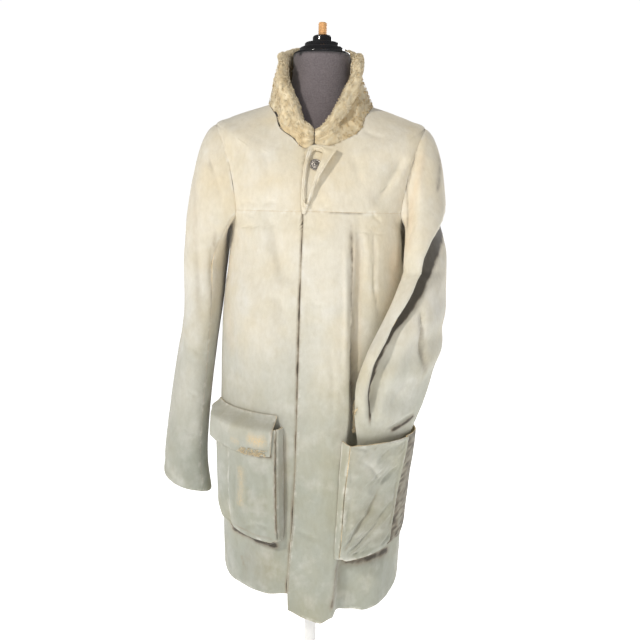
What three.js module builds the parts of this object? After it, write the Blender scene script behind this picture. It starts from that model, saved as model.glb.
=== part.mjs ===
// A thigh-length sheepskin coat, leather side out, with a curly lamb collar, on a limbless dress form.
// Millimetres, +Z up, the wearer faces -Y, the wearer's left is +X.
// The origin is the middle of the base's underside.
import * as THREE from "three";

// ---- driving constants -------------------------------------------------------------------------
const SKIN = 3.0; // thickness of the sheepskin
const GUSSET_SKIN = 2.4; // thickness of the pockets' gussets
const FLAP_SKIN = 2.2; // thickness of the left flap
const SEAM = 0.36; // gap left between two pieces at a seam
const CLEAR = 0.5; // gap between a piece and what it lies on
const LAP = 3.95; // how far the left front is raised where it laps over the right front
const UNDERLAP_X = 8; // the right front's edge under the lap
const ROUND = 2.4; // exponent of the coat's level rings
const YOKE_LEVEL = 7; // level of the yoke seam
const YOKE_GAP = 0.0055; // half the gap of the yoke seam, in levels
const NECK_LEVEL = 13; // level of the neckline
const NECK_DIP = { right: 1.8, left: 0.7, width: 12, front: 0.42 }; // how far the neckline dips, in levels
const TOP_ROW = 12.97; // row of the panels' upper edges
const ARMHOLE = { u: 90, du: 36, v: 8, dv: 2, power: 0.8 };
const HOLE_ANGLES = [0, 16, 32, 50, 70, 92, 114.94, 132, 148, 164, 180];

// Level rings of the coat: height at the side, front and back, half width, depth to the front and back.
const LEVELS = [
  [370, 370, 370, 179, 174, 166],
  [500, 500, 500, 184, 174, 166],
  [650, 650, 650, 188, 172, 161],
  [800, 800, 800, 190, 168, 152],
  [950, 950, 950, 186, 162, 144],
  [1050, 1050, 1050, 175, 156, 141],
  [1115, 1113, 1113, 171, 152.5, 140],
  [1145, 1145, 1145, 178, 149.5, 140],
  [1210, 1186, 1195, 193, 143.5, 138],
  [1262, 1215, 1238, 200, 136, 133],
  [1306, 1240, 1280, 201.6, 127, 118],
  [1320, 1251, 1308, 174, 122.5, 105],
  [1332, 1262, 1331, 140, 118, 91],
  [1345, 1275, 1352, 98, 113, 76],
];
const HEM_RING = 370; // height of the lowest ring
const HEM_STEP = 130; // height from the lowest ring to the next
// Opening edge of the left front, as x at a height.
const EDGE_X = [
  [370, -41], [428, -43], [509, -39], [563, -35], [671, -32], [807, -30],
  [917, -29], [1042, -28], [1144, -26], [1200, -28], [1262, -24],
];
// The long vertical fold of the left front: its crest as x at a height, and how far it stands out.
const CREST_X = [
  [370, 38], [418, 40], [500, 44], [607, 51], [714, 56], [792, 60],
  [845, 61], [918, 62], [994, 63], [1056, 64], [1136, 62],
];
const CREST_H = [[370, 15], [500, 15], [800, 13], [1000, 11], [1080, 7], [1128, 1.5], [1145, 0]];
// Hem heights by x for the right front, the left front and the back.
const HEM_RIGHT = [[-185, 424], [-150, 423], [-122, 420], [-91, 426], [-45, 431], [10, 434]];
const HEM_LEFT = [
  [-45, 400], [-10, 386], [19, 379], [38, 389], [56, 394], [105, 387], [140, 394], [185, 408],
];
const HEM_BACK = [[-185, 424], [0, 412], [185, 408]];
// Softer folds: a line of x, z on the front or back, half width, height.
const FOLDS = [
  { line: [[-86, 1136], [-74, 1082], [-60, 1040], [-50, 1010]], w: 14, h: -5 },
  { line: [[-76, 1005], [-66, 975], [-58, 940]], w: 12, h: -3 },
  { line: [[-150, 1290], [-147, 1230], [-142, 1170]], w: 15, h: -4 },
  { line: [[158, 1255], [125, 1205], [92, 1152]], w: 16, h: -5 },
  { line: [[-125, 560], [-128, 480], [-126, 370]], w: 20, h: -6 },
  { line: [[-70, 530], [-78, 450], [-76, 370]], w: 18, h: 4 },
  { line: [[-118, 1040], [-112, 940], [-104, 820]], w: 26, h: 3.5 },
  { line: [[112, 1120], [104, 1040], [98, 960], [92, 860]], w: 16, h: 4 },
  { line: [[118, 500], [122, 440], [124, 370]], w: 20, h: 5 },
  { line: [[86, 480], [84, 430], [84, 370]], w: 12, h: -4 },
];
const BACK_FOLDS = [
  { line: [[0, 1080], [2, 800], [-4, 560], [-6, 370]], w: 34, h: 6 },
  { line: [[-78, 900], [-84, 640], [-90, 370]], w: 26, h: -7 },
  { line: [[80, 940], [90, 660], [96, 370]], w: 26, h: -7 },
  { line: [[-128, 760], [-136, 560], [-140, 370]], w: 22, h: 5 },
  { line: [[132, 720], [140, 560], [146, 370]], w: 22, h: 5 },
  { line: [[-60, 1180], [-100, 1120], [-130, 1070]], w: 18, h: -4 },
  { line: [[58, 1190], [100, 1125], [132, 1070]], w: 18, h: -4 },
];
// Right sleeve below its head: height, centre x outwards and y, half width, half depth, turn in degrees.
const SLEEVE_RIGHT = [
  [1040, 222.5, 2, 41.5, 78, 0],
  [962, 228, 0, 39, 76, 5],
  [867, 240, -4, 39, 72, 9],
  [756, 253.5, -12, 40.5, 68, 13],
  [662, 262, -22, 44, 64, 16],
  [598, 257.5, -32, 48.5, 60, 20],
];
// Left sleeve below its head: height, middle and half angle round the coat, nearest and farthest from it.
const SLEEVE_LEFT = [
  [1040, 84, 37, 6, 77],
  [985, 74, 38, 6.5, 71],
  [935, 64, 37, 7.5, 67],
  [880, 54, 34, 8.5, 62],
  [832, 46, 29.5, 9.5, 52],
  [790, 41, 24.5, 10, 47],
  [752, 38, 20, 9, 39],
  [712, 36.5, 16, 7, 31],
];
const SEAM_FRONT = 118; // place of the sleeve's front seam round it, in degrees from the outside
const SEAM_BACK = 248; // place of its back seam
const SLEEVE_ROUND = 0.86; // exponent of a sleeve's section
const BLUNT = 0.72; // exponent of the left sleeve's section across the coat
const CUFF_TILT = 12; // how far the right cuff rises at its outer side
const CUFF_DIP = 3; // how far it falls at the front
// The left sleeve's long roll hangs over a deep fold: its lower edge as angle and height, how far the roll
// stands out, how deep the fold is, how wide at each height, and the heights and angles where it runs out.
const ROLL_LINE = [
  [-30, 1166], [5, 1150], [25, 1129], [45, 1095], [58, 1062], [62, 1030], [60, 974], [60, 911], [52, 843],
  [46, 788], [44, 740],
];
const ROLL = { height: 8, at: -14, width: 13, deep: 19, from: [767, 823], turn: [-32, 12], grow: [5, 45] };
const FOLD_WIDTH = [[760, 18], [843, 24], [911, 32], [980, 40], [1062, 54], [1130, 60]];
// Sleeve heads: spans of the curves that join the armhole to the sleeve, at the armhole's bottom and top.
const HEAD = { low: 1115, tall: 191, out: [34, 128], drop: [-22, -42], bulge: 62, fall: [62, 262] };
const DRAW_IN = 0.55; // how far a sleeve's first ring is drawn in from the armhole's edge
const RIGHT_STATIONS = [0, 0.1, 0.24, 0.4, 0.6, 0.8, 1, 1.6, 2.2, 2.9, 3.6, 4.3, 5, 5.5, 6];
const LEFT_STATIONS = [
  0, 0.1, 0.24, 0.4, 0.6, 0.8, 1, 1.5, 2, 2.5, 3, 3.5, 4, 4.5, 5, 5.5, 6, 6.5, 7, 7.5, 8,
];
// Collar, on the wearer's right and left: angle from the front, how far the roll's middle lies inside the
// neck seam and above it, the roll's radius.
const COLLAR = {
  right: [
    [0, 12, 22, 12], [5, 12, 28, 12], [12, 14, 38, 12.5], [20, 18, 47, 13], [30, 18, 64, 13],
    [45, 13, 84, 11.5], [60, 19, 90, 9.5], [90, 28, 84, 9.5], [120, 24, 94, 10.5], [150, 13, 100, 12],
    [180, 9, 102, 12.5],
  ],
  left: [
    [0, 12, 24, 12.5], [5, 14, 38, 13.5], [12, 17, 54, 14.5], [20, 20, 64, 15], [30, 25, 76, 14.5],
    [45, 20, 88, 12.5], [60, 25, 94, 9.5], [90, 30, 79, 9.5], [120, 25, 91, 10.5], [150, 13, 99, 12],
    [180, 9, 102, 12.5],
  ],
};
const COLLAR_FROM = -2.2; // angle at which the collar starts, at the throat
const COLLAR_TO = 357.4; // angle at which it ends
const COLLAR_STOPS = [
  0, 1.5, 4, 7.5, 12, 18, 25, 33, 42, 52, 62, 72, 82, 92, 102, 112, 123, 135, 147, 159, 171, 183, 195, 207,
  219, 231, 242, 252, 262, 272, 282, 292, 302, 312, 321, 330, 338, 345, 350.5, 354.5, 357.5, 359.6,
];
// Throat tab and its slot: x, z round their edges.
const TAB = [
  [-18, 1257], [-4, 1260], [13, 1258], [31, 1253], [28, 1245], [20, 1233], [11, 1219], [3, 1206], [-4, 1194],
  [-9, 1180], [-14, 1166], [-19, 1152], [-23, 1141], [-28, 1141], [-30, 1155], [-30.5, 1170], [-30, 1186],
  [-29, 1202], [-27.5, 1217], [-25, 1232], [-22, 1246],
];
const SLOT = [
  [-9, 1251], [1, 1249], [5, 1244], [4, 1236], [0, 1224], [-6, 1209], [-12, 1190], [-17, 1172], [-21, 1157],
  [-23, 1158], [-24.5, 1174], [-24, 1194], [-22.5, 1212], [-20.5, 1226], [-17.5, 1237], [-14, 1246],
];
const TAB_EDGE = [[1141, -26], [1166, -16], [1194, -6], [1219, 9], [1245, 26], [1260, 34]]; // its free side
const TAB_POINTS = 34; // points round the tab
const BUTTON = { x: -7, z: 1226, radius: 10.5, foot: 8.5, thick: 3.6 };
// Pockets: angles of the inner and outer edge at the top and bottom, heights of the top and bottom at the
// inner and outer edge, how far the front stands off the coat at the top and below, how far the outer gusset
// reaches round the side, its swell, the height of the front's ripples.
const POCKETS = {
  right: {
    side: -1, in: [15.6, 14.4], out: [45, 43], top: [755, 752], bottom: [539, 558],
    off: [24, 26], reach: 27, swell: 9, ripple: 0,
  },
  left: {
    side: 1, in: [13.8, 11.4], out: [45, 40.5], top: [735, 741], bottom: [508, 530],
    off: [46, 28], reach: 26, swell: 9, ripple: 2.5,
  },
};
const GUSSET = { side: 4.8, inner: 3.3, inset: 0.45, tuck: 2.5, drop: 9, inner_swell: 5 };
// Flaps: angles of the inner and outer edge at the top and bottom, heights at the inner and outer edge.
const FLAP = { in: [16.4, 17.6], out: [74, 74], top: [776, 779], bottom: [707, 724], sag: 4, slack: 1.4 };
const FLAP_UP = { u: [18, 52], z: [744, 806], off: 2.6 };
// The form's torso follows the coat from inside: how far inside it lies at each level.
const INSIDE = [
  [2, 38], [3, 34], [4, 44], [5, 30], [6, 17], [7, 14], [8, 12], [9, 10], [9.7, 8], [10.3, 6.5], [11, 3.5],
  [12.4, 3.5], [13, 4.2],
];
const FORM_BOTTOM = 1.82; // level of the torso's lowest full ring
const FORM_LEVELS = [
  1.85, 2.4, 3, 3.5, 4, 4.5, 5, 5.5, 6, 6.6, 7.3, 8, 8.7, 9.3, 9.7, 10, 10.3, 10.75, 11.5, 12.25, 13,
];
const FORM_AROUND = 32; // points round the torso
// Neck of the form: height at the side, front and back, half width, depth to the front and back.
const NECK = [
  [1347, 1279, 1354, 82, 89, 64],
  [1361, 1300, 1366, 68, 76, 56],
  [1384, 1340, 1385, 59, 66, 52],
  [1412, 1390, 1410, 55.5, 57, 50],
  [1438, 1438, 1438, 54.5, 54, 49],
];
const NECK_ROUND = 0.92; // exponent of the neck's rings
// Turned pieces: radius and height.
const CAP = [
  [0, 1438.4], [53.5, 1438.4], [54.5, 1440], [53, 1443], [43.5, 1444.5], [43.5, 1451], [38, 1454.5],
  [33.5, 1456], [33.5, 1460.5], [21, 1463], [18.5, 1466], [18.5, 1472], [16.5, 1475], [0, 1475],
];
const POST = { radius: 8.3, root: 7.3, pitch: 3.2, bottom: 1475.4, top: 1499.4 };
const POLE = [[0, 16.4], [12.5, 16.4], [12.5, 615.6], [0, 615.6]];
const BASE = [[0, 0], [193, 0], [196, 2], [196, 8], [192, 11], [40, 14], [30, 16], [0, 16]];

// ---- small helpers -----------------------------------------------------------------------------
const RAD = Math.PI / 180;
const vec = (x, y, z) => new THREE.Vector3(x, y, z);
const clamp = (t, a = 0, b = 1) => Math.min(b, Math.max(a, t));
const smooth = (a, b, t) => {
  const s = clamp((t - a) / (b - a));
  return s * s * (3 - 2 * s);
};
const mix = (a, b, t) => a + (b - a) * t;
const power = (c, p) => Math.sign(c) * Math.abs(c) ** p;
const hump = (t, at, width) => Math.exp(-(((t - at) / width) ** 2));
const even = (n) => Array.from({ length: n + 1 }, (_, i) => i / n);
// An angle brought between -180 and 180.
const turnOf = (u) => ((u + 540) % 360) - 180;

// The value of a table of pairs at t, eased a little at each row.
function table(rows, t) {
  if (t <= rows[0][0]) return rows[0][1];
  for (let i = 1; i < rows.length; i++)
    if (t <= rows[i][0]) {
      const s = (t - rows[i - 1][0]) / (rows[i][0] - rows[i - 1][0]);
      return mix(rows[i - 1][1], rows[i][1], s * s * (3 - 2 * s) * 0.4 + s * 0.6);
    }
  return rows[rows.length - 1][1];
}

// Catmull-Rom through the rows of a table, at a whole or broken row number.
function spline(rows, t) {
  const last = rows.length - 1;
  const i = clamp(Math.floor(t), 0, last - 1);
  const s = t - i;
  const at = (k) => rows[clamp(k, 0, last)];
  return rows[0].map((_, c) => {
    const b = at(i)[c];
    const d = at(i + 1)[c];
    const a = i < 1 ? 2 * b - d : at(i - 1)[c];
    const e = i + 2 > last ? 2 * d - b : at(i + 2)[c];
    return b + 0.5 * s * (d - a + s * (2 * a - 5 * b + 4 * d - e + s * (3 * (b - d) + e - a)));
  });
}

// Distance from a point to a line of points, how far along it the nearest point lies, and whether the point
// is to the right of someone who walks along the line.
function nearest(line, x, z) {
  let best = [Infinity, 0, false];
  for (let i = 1; i < line.length; i++) {
    const [ax, az] = line[i - 1];
    const [dx, dz] = [line[i][0] - ax, line[i][1] - az];
    const t = clamp(((x - ax) * dx + (z - az) * dz) / (dx * dx + dz * dz));
    const d = Math.hypot(x - ax - t * dx, z - az - t * dz);
    if (d < best[0]) best = [d, (i - 1 + t) / (line.length - 1), dx * (z - az) < dz * (x - ax)];
  }
  return best;
}

// Height of a set of folds at a point. A fold that runs out at the hem keeps its height there.
function foldSum(folds, x, z) {
  return folds.reduce((sum, { line, w, h }) => {
    const [d, t] = nearest(line, x, z);
    const atHem = line[line.length - 1][1] <= HEM_RING;
    const fade = smooth(0, 0.25, t) * (atHem ? 1 : smooth(0, 0.25, 1 - t));
    return sum + h * fade * hump(d, 0, w);
  }, 0);
}

// ---- the coat's surface ------------------------------------------------------------------------
// u is the angle round the coat from the middle of the front towards the wearer's left, v the level.
function base(u, v) {
  const [zs, zf, zb, a, bf, bb] = spline(LEVELS, v);
  const s = Math.sin(u * RAD);
  const c = Math.cos(u * RAD);
  const z = zs + ((c > 0 ? zf : zb) - zs) * c * c;
  return vec(a * power(s, 2 / ROUND), -(c > 0 ? bf : bb) * power(c, 2 / ROUND), z);
}
function baseNormal(u, v) {
  const du = base(u + 1.5, v).sub(base(u - 1.5, v));
  const dv = base(u, v + 0.06).sub(base(u, v - 0.06));
  return du.cross(dv).normalize();
}
// The long fold: it rises from the opening edge, turns over at its crest and leaves a hollow behind it.
function crest(x, z) {
  const q = x - table(CREST_X, z);
  let rise = -0.5 * (1 - smooth(13, 62, q));
  if (q < 0) rise = mix(0.3, 1, smooth(-88, -12, q));
  else if (q < 13) rise = mix(1, -0.5, smooth(0, 13, q));
  return table(CREST_H, z) * rise * smooth(-150, -60, x);
}
function drape(u, v) {
  const p = base(u, v);
  const c = Math.cos(u * RAD);
  const front = smooth(0.1, 0.32, c);
  const back = smooth(0.1, 0.32, -c);
  let d = 0;
  if (front > 0) d += front * (foldSum(FOLDS, p.x, p.z) + crest(p.x, p.z));
  if (back > 0) d += back * foldSum(BACK_FOLDS, p.x, p.z);
  return d;
}
// How far the left side's pieces are raised by the lap.
const lap = (u, v) => LAP * (1 - smooth(14, 62, base(u, v).x));
// A point of the coat's outer face, moved out by extra.
const outer = (u, v, extra = 0) => base(u, v).addScaledVector(baseNormal(u, v), drape(u, v) + extra);
const rightPlace = (u, v) => outer(u, v);
const leftPlace = (u, v) => outer(u, v, lap(u, v));
// A place off the coat's level ring, level with it.
const off = (u, v, o) => base(u, v).addScaledVector(baseNormal(u, v).setZ(0).normalize(), o);
// How far the front's outer face stands off its level ring.
const coatFace = (u, v) => drape(u, v) + (u > -6 && u < 90 ? lap(u, v) : 0);

// The middle of the range in which test turns from true to false.
function bisect(test, low, high) {
  let [lo, hi] = [low, high];
  for (let i = 0; i < 36; i++) {
    const mid = (lo + hi) / 2;
    if (test(mid)) lo = mid;
    else hi = mid;
  }
  return (lo + hi) / 2;
}
// Angle of the point of a level that has this x.
function angleAt(x, v) {
  const across = clamp(Math.abs(x) / spline(LEVELS, v)[3]);
  return (Math.sign(x) * Math.asin(across ** (ROUND / 2))) / RAD;
}
// Level of the ring whose front lies at this height.
const levelAt = (z) => bisect((v) => spline(LEVELS, v)[1] < z, 0, 6.5);
// Angle and level of the point of the front that has this x and z.
function frontAt(x, z) {
  const v = bisect((w) => base(angleAt(x, w), w).z < z, 0, NECK_LEVEL + 0.5);
  return [angleAt(x, v), v];
}

// ---- materials ---------------------------------------------------------------------------------
const look = (color, roughness, metalness) => new THREE.MeshStandardMaterial({ color, roughness, metalness });
const LOOKS = {
  skin: look(0xe0d7bf, 0.92, 0),
  fur: look(0xdcc9a2, 0.97, 0),
  button: look(0x6a645c, 0.4, 1),
  jersey: look(0x403c43, 0.95, 0),
  cap: look(0x0c0c0e, 0.22, 0),
  post: look(0xc9a06c, 0.6, 0),
  stand: look(0xe4e4e2, 0.45, 0),
};
const group = new THREE.Group();
group.name = "fur_jacket_on_dress_form";
function addPiece(name, slot, geometry) {
  const mesh = new THREE.Mesh(geometry, LOOKS[slot].clone());
  mesh.name = name;
  group.add(mesh);
  return mesh;
}

// ---- closed walls ------------------------------------------------------------------------------
function closedGeometry(verts, faces) {
  const volume = faces.reduce((sum, [a, b, c]) => sum + verts[a].dot(verts[b].clone().cross(verts[c])), 0);
  const geometry = new THREE.BufferGeometry().setFromPoints(verts);
  geometry.setIndex(faces.flatMap(([a, b, c]) => (volume > 0 ? [a, b, c] : [a, c, b])));
  geometry.computeVertexNormals();
  return geometry;
}
// Two triangles for four corners, cut along the shorter diagonal.
function quad(verts, [a, b, c, d]) {
  if (verts[a].distanceTo(verts[c]) <= verts[b].distanceTo(verts[d])) return [[a, b, c], [a, c, d]];
  return [[a, b, d], [b, c, d]];
}
// A wall from a grid of outer points p and the normals n at them. wrap closes it round its columns.
// Both its faces are cut along the same diagonals, so that they never cross.
function wall(rows, thickness, wrap = false) {
  const n = rows.length;
  const m = rows[0].length;
  const inner = n * m;
  const outside = rows.flat().map(({ p }) => p);
  const inside = rows.flat().map((spot) => spot.p.clone().addScaledVector(spot.n, -thickness));
  const verts = [...outside, ...inside];
  const faces = [];
  const last = wrap ? m : m - 1;
  for (let j = 0; j < last; j++) {
    const k = (j + 1) % m;
    for (let i = 0; i + 1 < n; i++)
      for (const [a, b, c] of quad(verts, [i * m + j, i * m + k, (i + 1) * m + k, (i + 1) * m + j]))
        faces.push([a, b, c], [a + inner, c + inner, b + inner]);
    const top = (n - 1) * m;
    faces.push(...quad(verts, [k, j, j + inner, k + inner]));
    faces.push(...quad(verts, [top + j, top + k, top + k + inner, top + j + inner]));
  }
  if (!wrap)
    for (let i = 0; i + 1 < n; i++) {
      const [a, b] = [i * m, (i + 1) * m];
      faces.push(...quad(verts, [a, b, b + inner, a + inner]));
      faces.push(...quad(verts, [b + m - 1, a + m - 1, a + m - 1 + inner, b + m - 1 + inner]));
    }
  return closedGeometry(verts, faces);
}
// A solid lofted through rings of points, closed at both ends.
function loft(rings) {
  const n = rings.length;
  const m = rings[0].length;
  const verts = rings.flat();
  const faces = [];
  for (let i = 0; i + 1 < n; i++)
    for (let j = 0; j < m; j++) {
      const k = (j + 1) % m;
      faces.push(...quad(verts, [i * m + j, i * m + k, (i + 1) * m + k, (i + 1) * m + j]));
    }
  for (const i of [0, n - 1]) {
    const middle = rings[i].reduce((s, p) => s.add(p), vec(0, 0, 0)).multiplyScalar(1 / m);
    const tip = verts.push(middle) - 1;
    for (let j = 0; j < m; j++) {
      const [a, b] = [i * m + j, i * m + ((j + 1) % m)];
      faces.push(i === 0 ? [b, a, tip] : [a, b, tip]);
    }
  }
  return closedGeometry(verts, faces);
}
// Points and normals of a surface place(a, b) at a grid of spots, facing away from a middle point.
function gridOf(place, spots, stepA, stepB, middle) {
  return spots.map((row) =>
    row.map(([a, b]) => {
      const p = place(a, b);
      const da = place(a + stepA, b).sub(place(a - stepA, b));
      const db = place(a, b + stepB).sub(place(a, b - stepB));
      const n = da.cross(db).normalize();
      if (n.dot(p.clone().sub(middle(p))) < 0) n.negate();
      return { p, n };
    }),
  );
}
const onAxis = (p) => vec(0, 0, p.z);

// ---- panels of the coat's body -----------------------------------------------------------------
function holeSpot(t) {
  const s = power(Math.sin(t * RAD), ARMHOLE.power);
  const c = power(Math.cos(t * RAD), ARMHOLE.power);
  return [ARMHOLE.u - ARMHOLE.du * s, ARMHOLE.v + ARMHOLE.dv * c];
}
const HOLE_BOTTOM = ARMHOLE.v - ARMHOLE.dv;
const HOLE_TOP = ARMHOLE.v + ARMHOLE.dv;
const holeLevels = HOLE_ANGLES.map((t) => holeSpot(t)[1]).reverse();
const holeRows = (low, high) => holeLevels.filter((v) => v > low + 0.001 && v < high - 0.001);
// Half angle of the armhole at a level, none above and below it.
function holeHalf(v) {
  if (v <= HOLE_BOTTOM || v >= HOLE_TOP) return 0;
  const c = Math.abs((v - ARMHOLE.v) / ARMHOLE.dv) ** (1 / ARMHOLE.power);
  return ARMHOLE.du * Math.sqrt(1 - c * c) ** ARMHOLE.power;
}
// Level of the neckline at an angle: it dips at the throat, most on the wearer's right.
function neckLevel(u) {
  const a = turnOf(u);
  const throat = mix(NECK_DIP.right, NECK_DIP.left, smooth(-11, 0, a)) * hump(a, 0, NECK_DIP.width);
  return NECK_LEVEL - throat - NECK_DIP.front * (1 - smooth(30, 55, Math.abs(a)));
}
// Level of a row of a panel: the lowest rows follow the hem, the highest ones the neckline.
function levelOf(row, u, hem) {
  if (row < 2) {
    const h = (table(hem, base(u, 0.2).x) - HEM_RING) / HEM_STEP;
    return h + (row / 2) * (2 - h);
  }
  if (row > HOLE_TOP) return HOLE_TOP + ((row - HOLE_TOP) / 3) * (neckLevel(u) - HOLE_TOP);
  return row;
}
// Half the gap of a side seam, in degrees.
const gapAt = (v, u) => SEAM / 2 / Math.max(base(u + 0.5, v).distanceTo(base(u - 0.5, v)), 0.5);
const sideEdge = (row, sign) => {
  const u = 90 - holeHalf(row);
  return sign * (u - gapAt(Math.min(row, 12.6), u));
};
const rightEdge = (row) => angleAt(UNDERLAP_X, Math.min(row, 12));
const leftEdge = (row) => {
  const v = Math.min(row, 11.2);
  return angleAt(table(EDGE_X, base(0, v).z), v);
};
const HEM_ROWS = [0, 0.45, 0.95, 1.45, 1.95, 2.45, 2.95, 3.45, 3.95, 4.45, 4.95, 5.5, HOLE_BOTTOM];
const SHOULDER_ROWS = [HOLE_TOP, 10.75, 11.5, 12.25, TOP_ROW];
const lowerRows = [...HEM_ROWS, ...holeRows(HOLE_BOTTOM, YOKE_LEVEL - YOKE_GAP), YOKE_LEVEL - YOKE_GAP];
const yokeRows = [YOKE_LEVEL + YOKE_GAP, ...holeRows(YOKE_LEVEL + YOKE_GAP, HOLE_TOP), ...SHOULDER_ROWS];
const backRows = [...HEM_ROWS, ...holeRows(HOLE_BOTTOM, HOLE_TOP), ...SHOULDER_ROWS];
// The left front's columns are close together at the crest of its long fold, which is at 1.
const CREST_COLUMNS = [
  0, 0.17, 0.34, 0.5, 0.65, 0.79, 0.91, 1, 1.045, 1.09, 1.14, 1.21, 1.3, 1.42, 1.55, 1.7, 1.85, 2,
];

// A panel between two edges, which give the angle of each row.
function panel(name, place, rows, from, to, columns, hem) {
  const spots = rows.map((row) =>
    columns.map((c) => {
      const u = mix(from(row), to(row), c);
      return [u, levelOf(row, u, hem)];
    }),
  );
  addPiece(name, "skin", wall(gridOf(place, spots, 2, 0.1, onAxis), SKIN));
}
function leftFront() {
  const spots = lowerRows.map((row) => {
    const v = Math.min(row, 6.8);
    const edges = [leftEdge(row), angleAt(table(CREST_X, base(0, v).z) - 1, v), sideEdge(row, 1)];
    return CREST_COLUMNS.map((c) => {
      const u = c <= 1 ? mix(edges[0], edges[1], c) : mix(edges[1], edges[2], c - 1);
      return [u, levelOf(row, u, HEM_LEFT)];
    });
  });
  addPiece("front_left", "skin", wall(gridOf(leftPlace, spots, 2, 0.1, onAxis), SKIN));
}
const rightSide = (row) => sideEdge(row, -1);
const leftSide = (row) => sideEdge(row, 1);
const backStart = (row) => 90 + holeHalf(row) + gapAt(Math.min(row, 12.6), 90 + holeHalf(row));
panel("front_right", rightPlace, lowerRows, rightSide, rightEdge, even(12), HEM_RIGHT);
leftFront();
panel("yoke_right", rightPlace, yokeRows, rightSide, rightEdge, even(10));
panel("yoke_left", leftPlace, yokeRows, leftEdge, leftSide, even(10));
panel("back", rightPlace, backRows, backStart, (row) => 360 - backStart(row), even(18), HEM_BACK);

// ---- sleeves -----------------------------------------------------------------------------------
// t is the angle round a sleeve, from the outside over the front. s is its station: 0 to 1 is the sleeve
// head, and each row of the sleeve's table is one more.
function ringRight(t, s) {
  const [z, cx, cy, halfWidth, halfDepth, turn] = spline(SLEEVE_RIGHT, s);
  const a = halfWidth * power(Math.cos(t * RAD), SLEEVE_ROUND);
  const b = -halfDepth * power(Math.sin(t * RAD), SLEEVE_ROUND);
  const [c, d] = [Math.cos(turn * RAD), Math.sin(turn * RAD)];
  const tilt = (CUFF_TILT * Math.cos(t * RAD) - CUFF_DIP * Math.sin(t * RAD)) * smooth(3, 5, s);
  return vec(-(cx + a * c + b * d), cy - 0.4 * a * d + b * c, z + tilt);
}
function ringLeft(t, s) {
  const [z, middle, half, near, far] = spline(SLEEVE_LEFT, s);
  const u = middle - half * power(Math.sin(t * RAD), SLEEVE_ROUND);
  const v = levelAt(z);
  const o = mix(near, far, 0.5 + 0.5 * power(Math.cos(t * RAD), BLUNT));
  const p = off(u, v, Math.max(0, drape(u, v)) + o);
  return { p, out: baseNormal(u, v).setZ(0).normalize() };
}
// How far the left sleeve's roll stands out at an angle and height, below 0 in the fold under it.
function rollHeight(t, z) {
  const [d, , below] = nearest(ROLL_LINE, t, z);
  const q = below ? d : -d;
  const fold = smooth(-8, 5, q) * (1 - smooth(6, table(FOLD_WIDTH, z), q));
  const strength = smooth(ROLL.turn[0], ROLL.turn[1], t) * smooth(ROLL.from[0], ROLL.from[1], z);
  const roll = ROLL.height * smooth(ROLL.grow[0], ROLL.grow[1], t) * hump(q, ROLL.at, ROLL.width);
  return strength * (roll - ROLL.deep * fold);
}
const holeMiddle = (side) => base(side * ARMHOLE.u, ARMHOLE.v);
function sleevePoint(side, t, s) {
  if (side < 0) return sleeveBody(side, t, s, ringRight);
  const p = sleeveBody(side, t, s, (angle, station) => ringLeft(angle, station).p);
  return p.addScaledVector(ringLeft(t, Math.max(0, s - 1)).out, rollHeight(t, p.z));
}
function sleeveBody(side, t, s, ring) {
  if (s >= 1) return ring(t, s - 1);
  const end = ring(t, 0);
  const [hu, hv] = holeSpot(t);
  const start = base(side * hu, hv).addScaledVector(baseNormal(side * hu, hv), 0.8);
  const w = clamp((start.z - HEAD.low) / HEAD.tall);
  const front = Math.sin(t * RAD);
  const drop = mix(HEAD.drop[0], HEAD.drop[1], w) - HEAD.bulge * Math.sin(Math.PI * w);
  const leave = vec(side * mix(HEAD.out[0], HEAD.out[1], w), -26 * front, drop);
  const arrive = vec(side * 8, 6 * front, -mix(HEAD.fall[0], HEAD.fall[1], w));
  const p = start.multiplyScalar(s * s * (2 * s - 3) + 1);
  p.addScaledVector(leave, s * (s - 1) ** 2).addScaledVector(end, s * s * (3 - 2 * s));
  p.addScaledVector(arrive, s * s * (s - 1));
  const drawIn = holeMiddle(side).sub(p).normalize();
  return p.addScaledVector(drawIn, DRAW_IN * (1 - smooth(0, 0.25, s)));
}
const ringAngles = [...HOLE_ANGLES, ...HOLE_ANGLES.slice(1, -1).reverse().map((t) => 360 - t)];
function sleevePiece(name, side, from, to, stations) {
  const place = (t, s) => sleevePoint(side, t, Math.max(0, s));
  const angles = ringAngles.flatMap((t) => [t, t - 360]).filter((t) => t > from + 4 && t < to - 4);
  angles.sort((a, b) => a - b);
  const spots = stations.map((s) => {
    const gap = (t) => SEAM / place(t + 1, s).distanceTo(place(t - 1, s));
    return [from + gap(from), ...angles, to - gap(to)].map((t) => [t, s]);
  });
  const rows = gridOf(place, spots, 5, 0.06, (p) => vec(p.x, p.y, p.z));
  const half = stations[Math.floor(stations.length / 2)];
  const sum = ringAngles.reduce((s, t) => s.add(place(t, half)), vec(0, 0, 0));
  const middle = sum.multiplyScalar(1 / ringAngles.length);
  const probe = rows[Math.floor(rows.length / 2)][Math.floor(rows[0].length / 2)];
  if (probe.p.clone().sub(middle).dot(probe.n) < 0) rows.flat().forEach(({ n }) => n.negate());
  addPiece(name, "skin", wall(rows, SKIN));
}
sleevePiece("sleeve_right_upper", -1, SEAM_BACK - 360, SEAM_FRONT, RIGHT_STATIONS);
sleevePiece("sleeve_right_under", -1, SEAM_FRONT, SEAM_BACK, RIGHT_STATIONS);
sleevePiece("sleeve_left_upper", 1, SEAM_BACK - 360, SEAM_FRONT, LEFT_STATIONS);
sleevePiece("sleeve_left_under", 1, SEAM_FRONT, SEAM_BACK, LEFT_STATIONS);

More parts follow.
